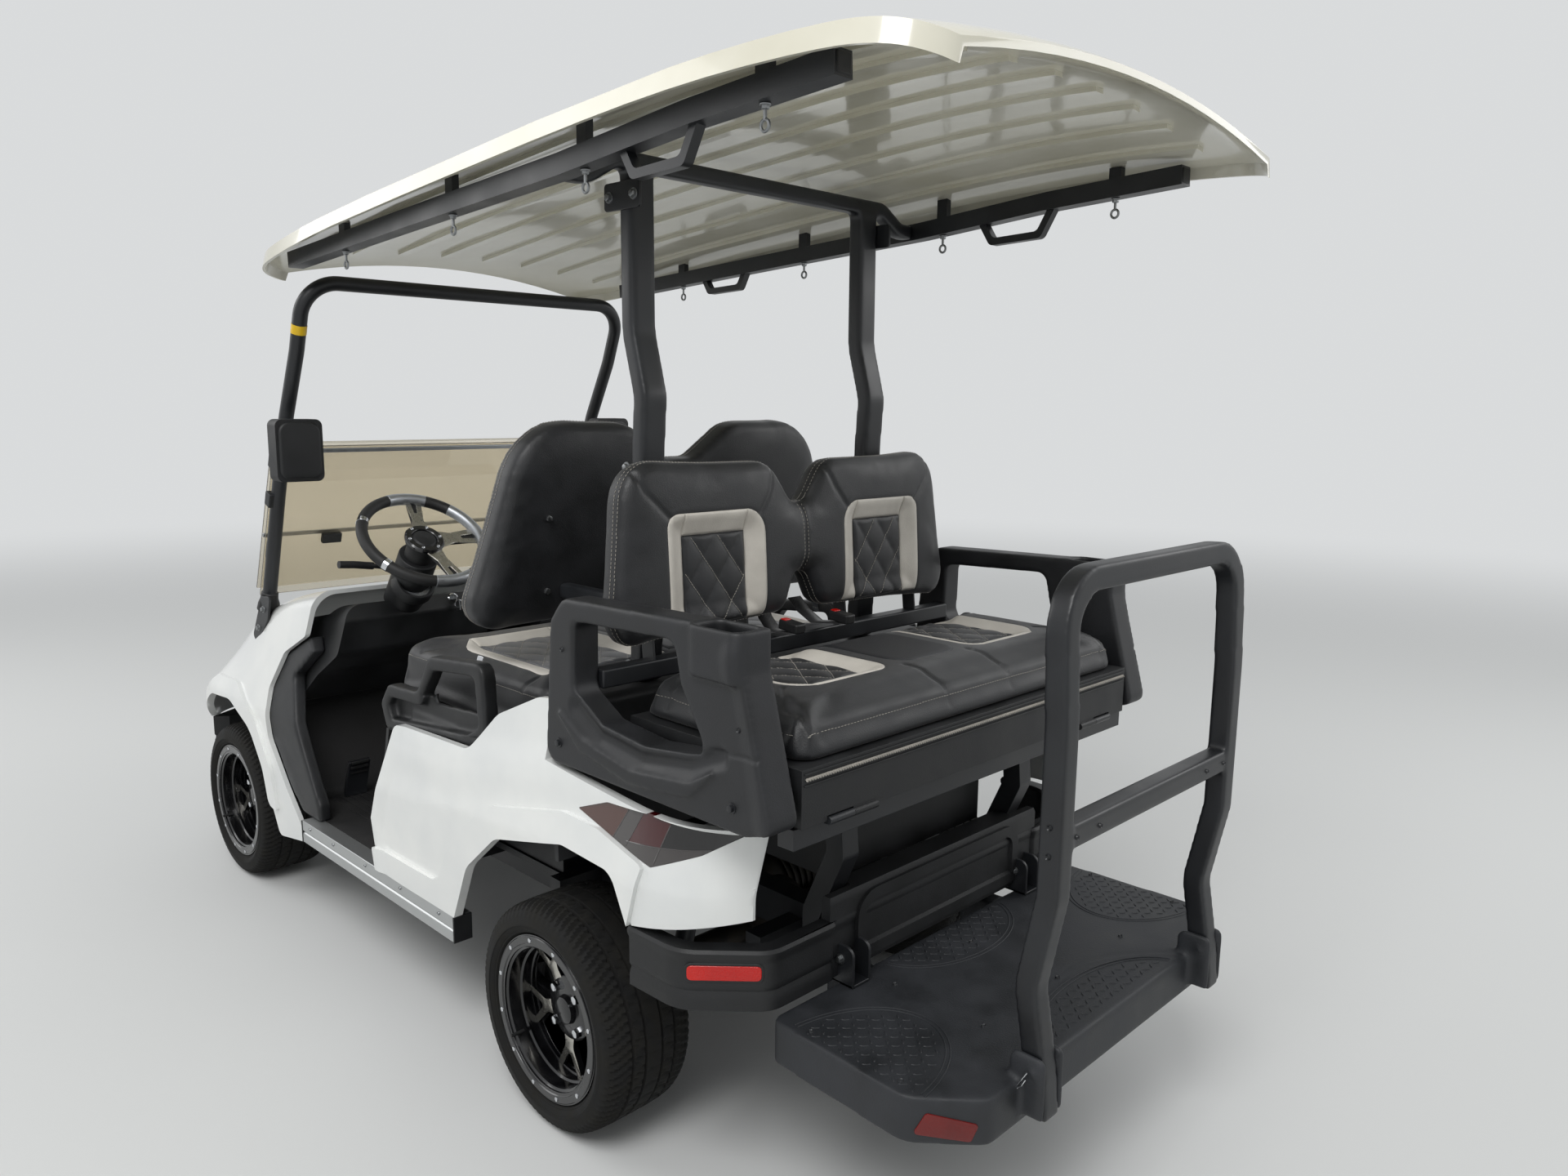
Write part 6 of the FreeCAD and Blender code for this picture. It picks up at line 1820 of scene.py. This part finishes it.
def makeMirrorParts():
    back, front = mirror["back"], mirror["front"]
    y0, y1, z0, z1 = mirror["shell"]
    x = back + 0.004
    shell = plateShape([(x, y0, z0), (x, y1, z0), (x, y1, z1), (x, y0, z1)], mirror["shellRadii"],
                       (-0.010, 0, 0))
    softenRims(shell, (1, 0, 0), 0.008, 4, lambda e: max(v.co.x for v in e.verts) < back)
    newPiece("mirror_backs", twinned(shell), "mirrors", "blackMoulding")
    y0, y1, z0, z1 = mirror["rim"]
    x = front - 0.001
    rim = plateShape([(x, y0, z0), (x, y1, z0), (x, y1, z1), (x, y0, z1)], [0.02] * 4, (0.005, 0, 0))
    face = max(rim.faces, key=lambda f: f.calc_center_median().x)
    bmesh.ops.inset_region(rim, faces=[face], thickness=0.005)
    bmesh.ops.translate(rim, verts=list(face.verts), vec=(-0.003, 0, 0))
    face.material_index = 1
    newPiece("mirror_rims", twinned(rim), "mirrors", ["blackMoulding", "mirrorGlass"], crisp=0.0008)
    ball = bmesh.new()
    bmesh.ops.create_uvsphere(ball, u_segments=24, v_segments=14, radius=mirror["ball"],
                              matrix=Matrix.Translation((front - 0.006, *mirror["joint"])))
    newPiece("mirror_joints", twinned(ball), "mirrors", "gripRubber")


makeWindshieldParts()
makeHoopParts()
makeMirrorParts()

roof = {
    "rail": [(-0.663, 1.891), (-0.350, 1.874), (0.000, 1.843), (0.590, 1.808), (1.190, 1.770)],
    "railY": 0.518, "tube": 0.038, "stays": [-0.510, -0.060, 0.400, 0.900], "post": (0.034, 0.333, 0.030),
}


def railTop(x):
    for (x0, z0), (x1, z1) in zip(roof["rail"], roof["rail"][1:]):
        if x0 <= x <= x1:
            return z0 + (z1 - z0) * (x - x0) / (x1 - x0)


def makeRoofParts():
    eyes = []
    for x in roof["stays"]:
        z = railTop(x) - roof["tube"] / 2
        for side in (1, -1):
            place = Vector((rearAxle + x, side * roof["railY"], z - 0.001))
            bm = bmesh.new()
            washer(bm, place, (0, 0, -1), 0.018)
            hexHead(bm, place - Vector((0, 0, 0.0018)), (0, 0, -1), 0.014, 0.006)
            bmesh.ops.create_cone(bm, cap_ends=True, segments=12, radius1=0.003, radius2=0.003, depth=0.016,
                                  matrix=aimed(place - Vector((0, 0, 0.014)), (0, 0, -1)))
            eyes.append(bm)
            ring = arcSleeve(0.0085, 0.0026, 0, 359.9, 8, 15)
            ring.transform(Matrix.Translation(place - Vector((0, 0, 0.030)))
                           @ Matrix.Rotation(math.pi / 2, 4, "X"))
            eyes.append(ring)
    newPiece("roof_eye_bolts", gathered(eyes), "roof_rails", "zincScrew")
    ends = bmesh.new()
    half = roof["tube"] / 2
    for x, way in ((roof["rail"][0][0], -1), (roof["rail"][-1][0], 1)):
        z = railTop(x)
        low, high = sorted((rearAxle + x - way * 0.004, rearAxle + x + way * 0.0025))
        addBox(ends, (low, roof["railY"] - half + 0.004, z - half + 0.004),
               (high, roof["railY"] + half - 0.004, z + half - 0.004))
    newPiece("roof_rail_plugs", twinned(ends), "roof_rails", "gripRubber", crisp=0.002)
    x, y, wide = roof["post"]
    plates = [sidePlate([(x - 0.055, 1.790), (x + 0.055, 1.790), (x + 0.055, 1.842), (x - 0.055, 1.842)],
                        y + wide, y + wide + 0.006, [0.008] * 4)]
    newPiece("post_head_plates", twinned(gathered(plates)), "roof_posts", "powderCoat",
             crisp=0.001)
    rows = [("hex", (x + dx, y + wide + 0.006, 1.815), (0, 1, 0), 0.013) for dx in (-0.038, 0.038)]
    rows += [("hex", (x, y + wide, z), (0, 1, 0), 0.013) for z in (1.300, 0.900)]
    rows += [("screw", (dx, 0.5285, z), (0, 1, 0), 0.010) for dx, z in ((-0.350, 1.868), (-0.185, 1.856))]
    fixings("post_bolts", rows, "roof_posts")


makeRoofParts()
print("windshield and roof parts made")

# Floor, backdrop and lamps

stage = {
    "backdrop": "#f0f2f3", "seen": 0.80, "sky": 0.52,
    # name, place, aim, size, watts
    "lamps": [("keyLight", (-2.4, 3.4, 5.0), (-0.3, 0, 0.7), 2.6, 175),
              ("fillLight", (4.5, 3.0, 3.4), (0.2, 0, 0.8), 3.5, 80),
              ("rearLight", (-3.5, -4.0, 3.6), (0, 0, 0.8), 3.0, 70)],
}


# One where a ray comes from the camera, a mirror or glass, so that they all see the backdrop
def seenRays(tree):
    rays = addNode(tree, "LightPath")
    some = addNode(tree, "Math", {0: rays.outputs["Is Camera Ray"], 1: rays.outputs["Is Glossy Ray"]},
                   operation="MAXIMUM")
    return addNode(tree, "Math", {0: some.outputs["Value"], 1: rays.outputs["Is Transmission Ray"]},
                   operation="MAXIMUM").outputs["Value"]


def makeStage():
    bm = bmesh.new()
    bmesh.ops.create_grid(bm, x_segments=1, y_segments=1, size=30)
    mesh = bpy.data.meshes.new("floor")
    bm.to_mesh(mesh)
    bm.free()
    floor = placed("floor", mesh)
    tree, shader, place = startFinish("paleFloor", "#dcdddc", 0.75)
    mesh.materials.append(finishes["paleFloor"])
    away = addNode(tree, "VectorMath", {0: place}, operation="LENGTH")
    far = addNode(tree, "MapRange", {"Value": away.outputs["Value"], "From Min": 3.5, "From Max": 12.0},
                  interpolation_type="SMOOTHSTEP")
    fade = addNode(tree, "Math", {0: far.outputs["Result"], 1: seenRays(tree)}, operation="MULTIPLY")
    glow = addNode(tree, "Emission", {"Color": hexColour(stage["backdrop"]), "Strength": stage["seen"]})
    both = addNode(tree, "MixShader", {"Fac": fade.outputs["Value"]})
    tree.links.new(shader.outputs["BSDF"], both.inputs[1])
    tree.links.new(glow.outputs["Emission"], both.inputs[2])
    tree.links.new(both.outputs["Shader"], tree.nodes["Material Output"].inputs["Surface"])
    scene = bpy.context.scene
    scene.view_settings.view_transform = "Standard"
    world = bpy.data.worlds.new("studio")
    scene.world = world
    world.use_nodes = True
    backdrop = world.node_tree.nodes["Background"]
    backdrop.inputs["Color"].default_value = hexColour(stage["backdrop"])
    span = addNode(world.node_tree, "MapRange", {"Value": seenRays(world.node_tree), "To Min": stage["sky"],
                                                 "To Max": stage["seen"]})
    world.node_tree.links.new(span.outputs["Result"], backdrop.inputs["Strength"])
    for name, place, aim, wide, watts in stage["lamps"]:
        data = bpy.data.lights.new(name, "AREA")
        data.energy = watts
        data.size = wide
        lamp = placed(name, data)
        lamp.location = place
        lamp.rotation_mode = "QUATERNION"
        lamp.rotation_quaternion = (Vector(aim) - Vector(place)).to_track_quat("-Z", "Y")


makeCamera()
makeStage()
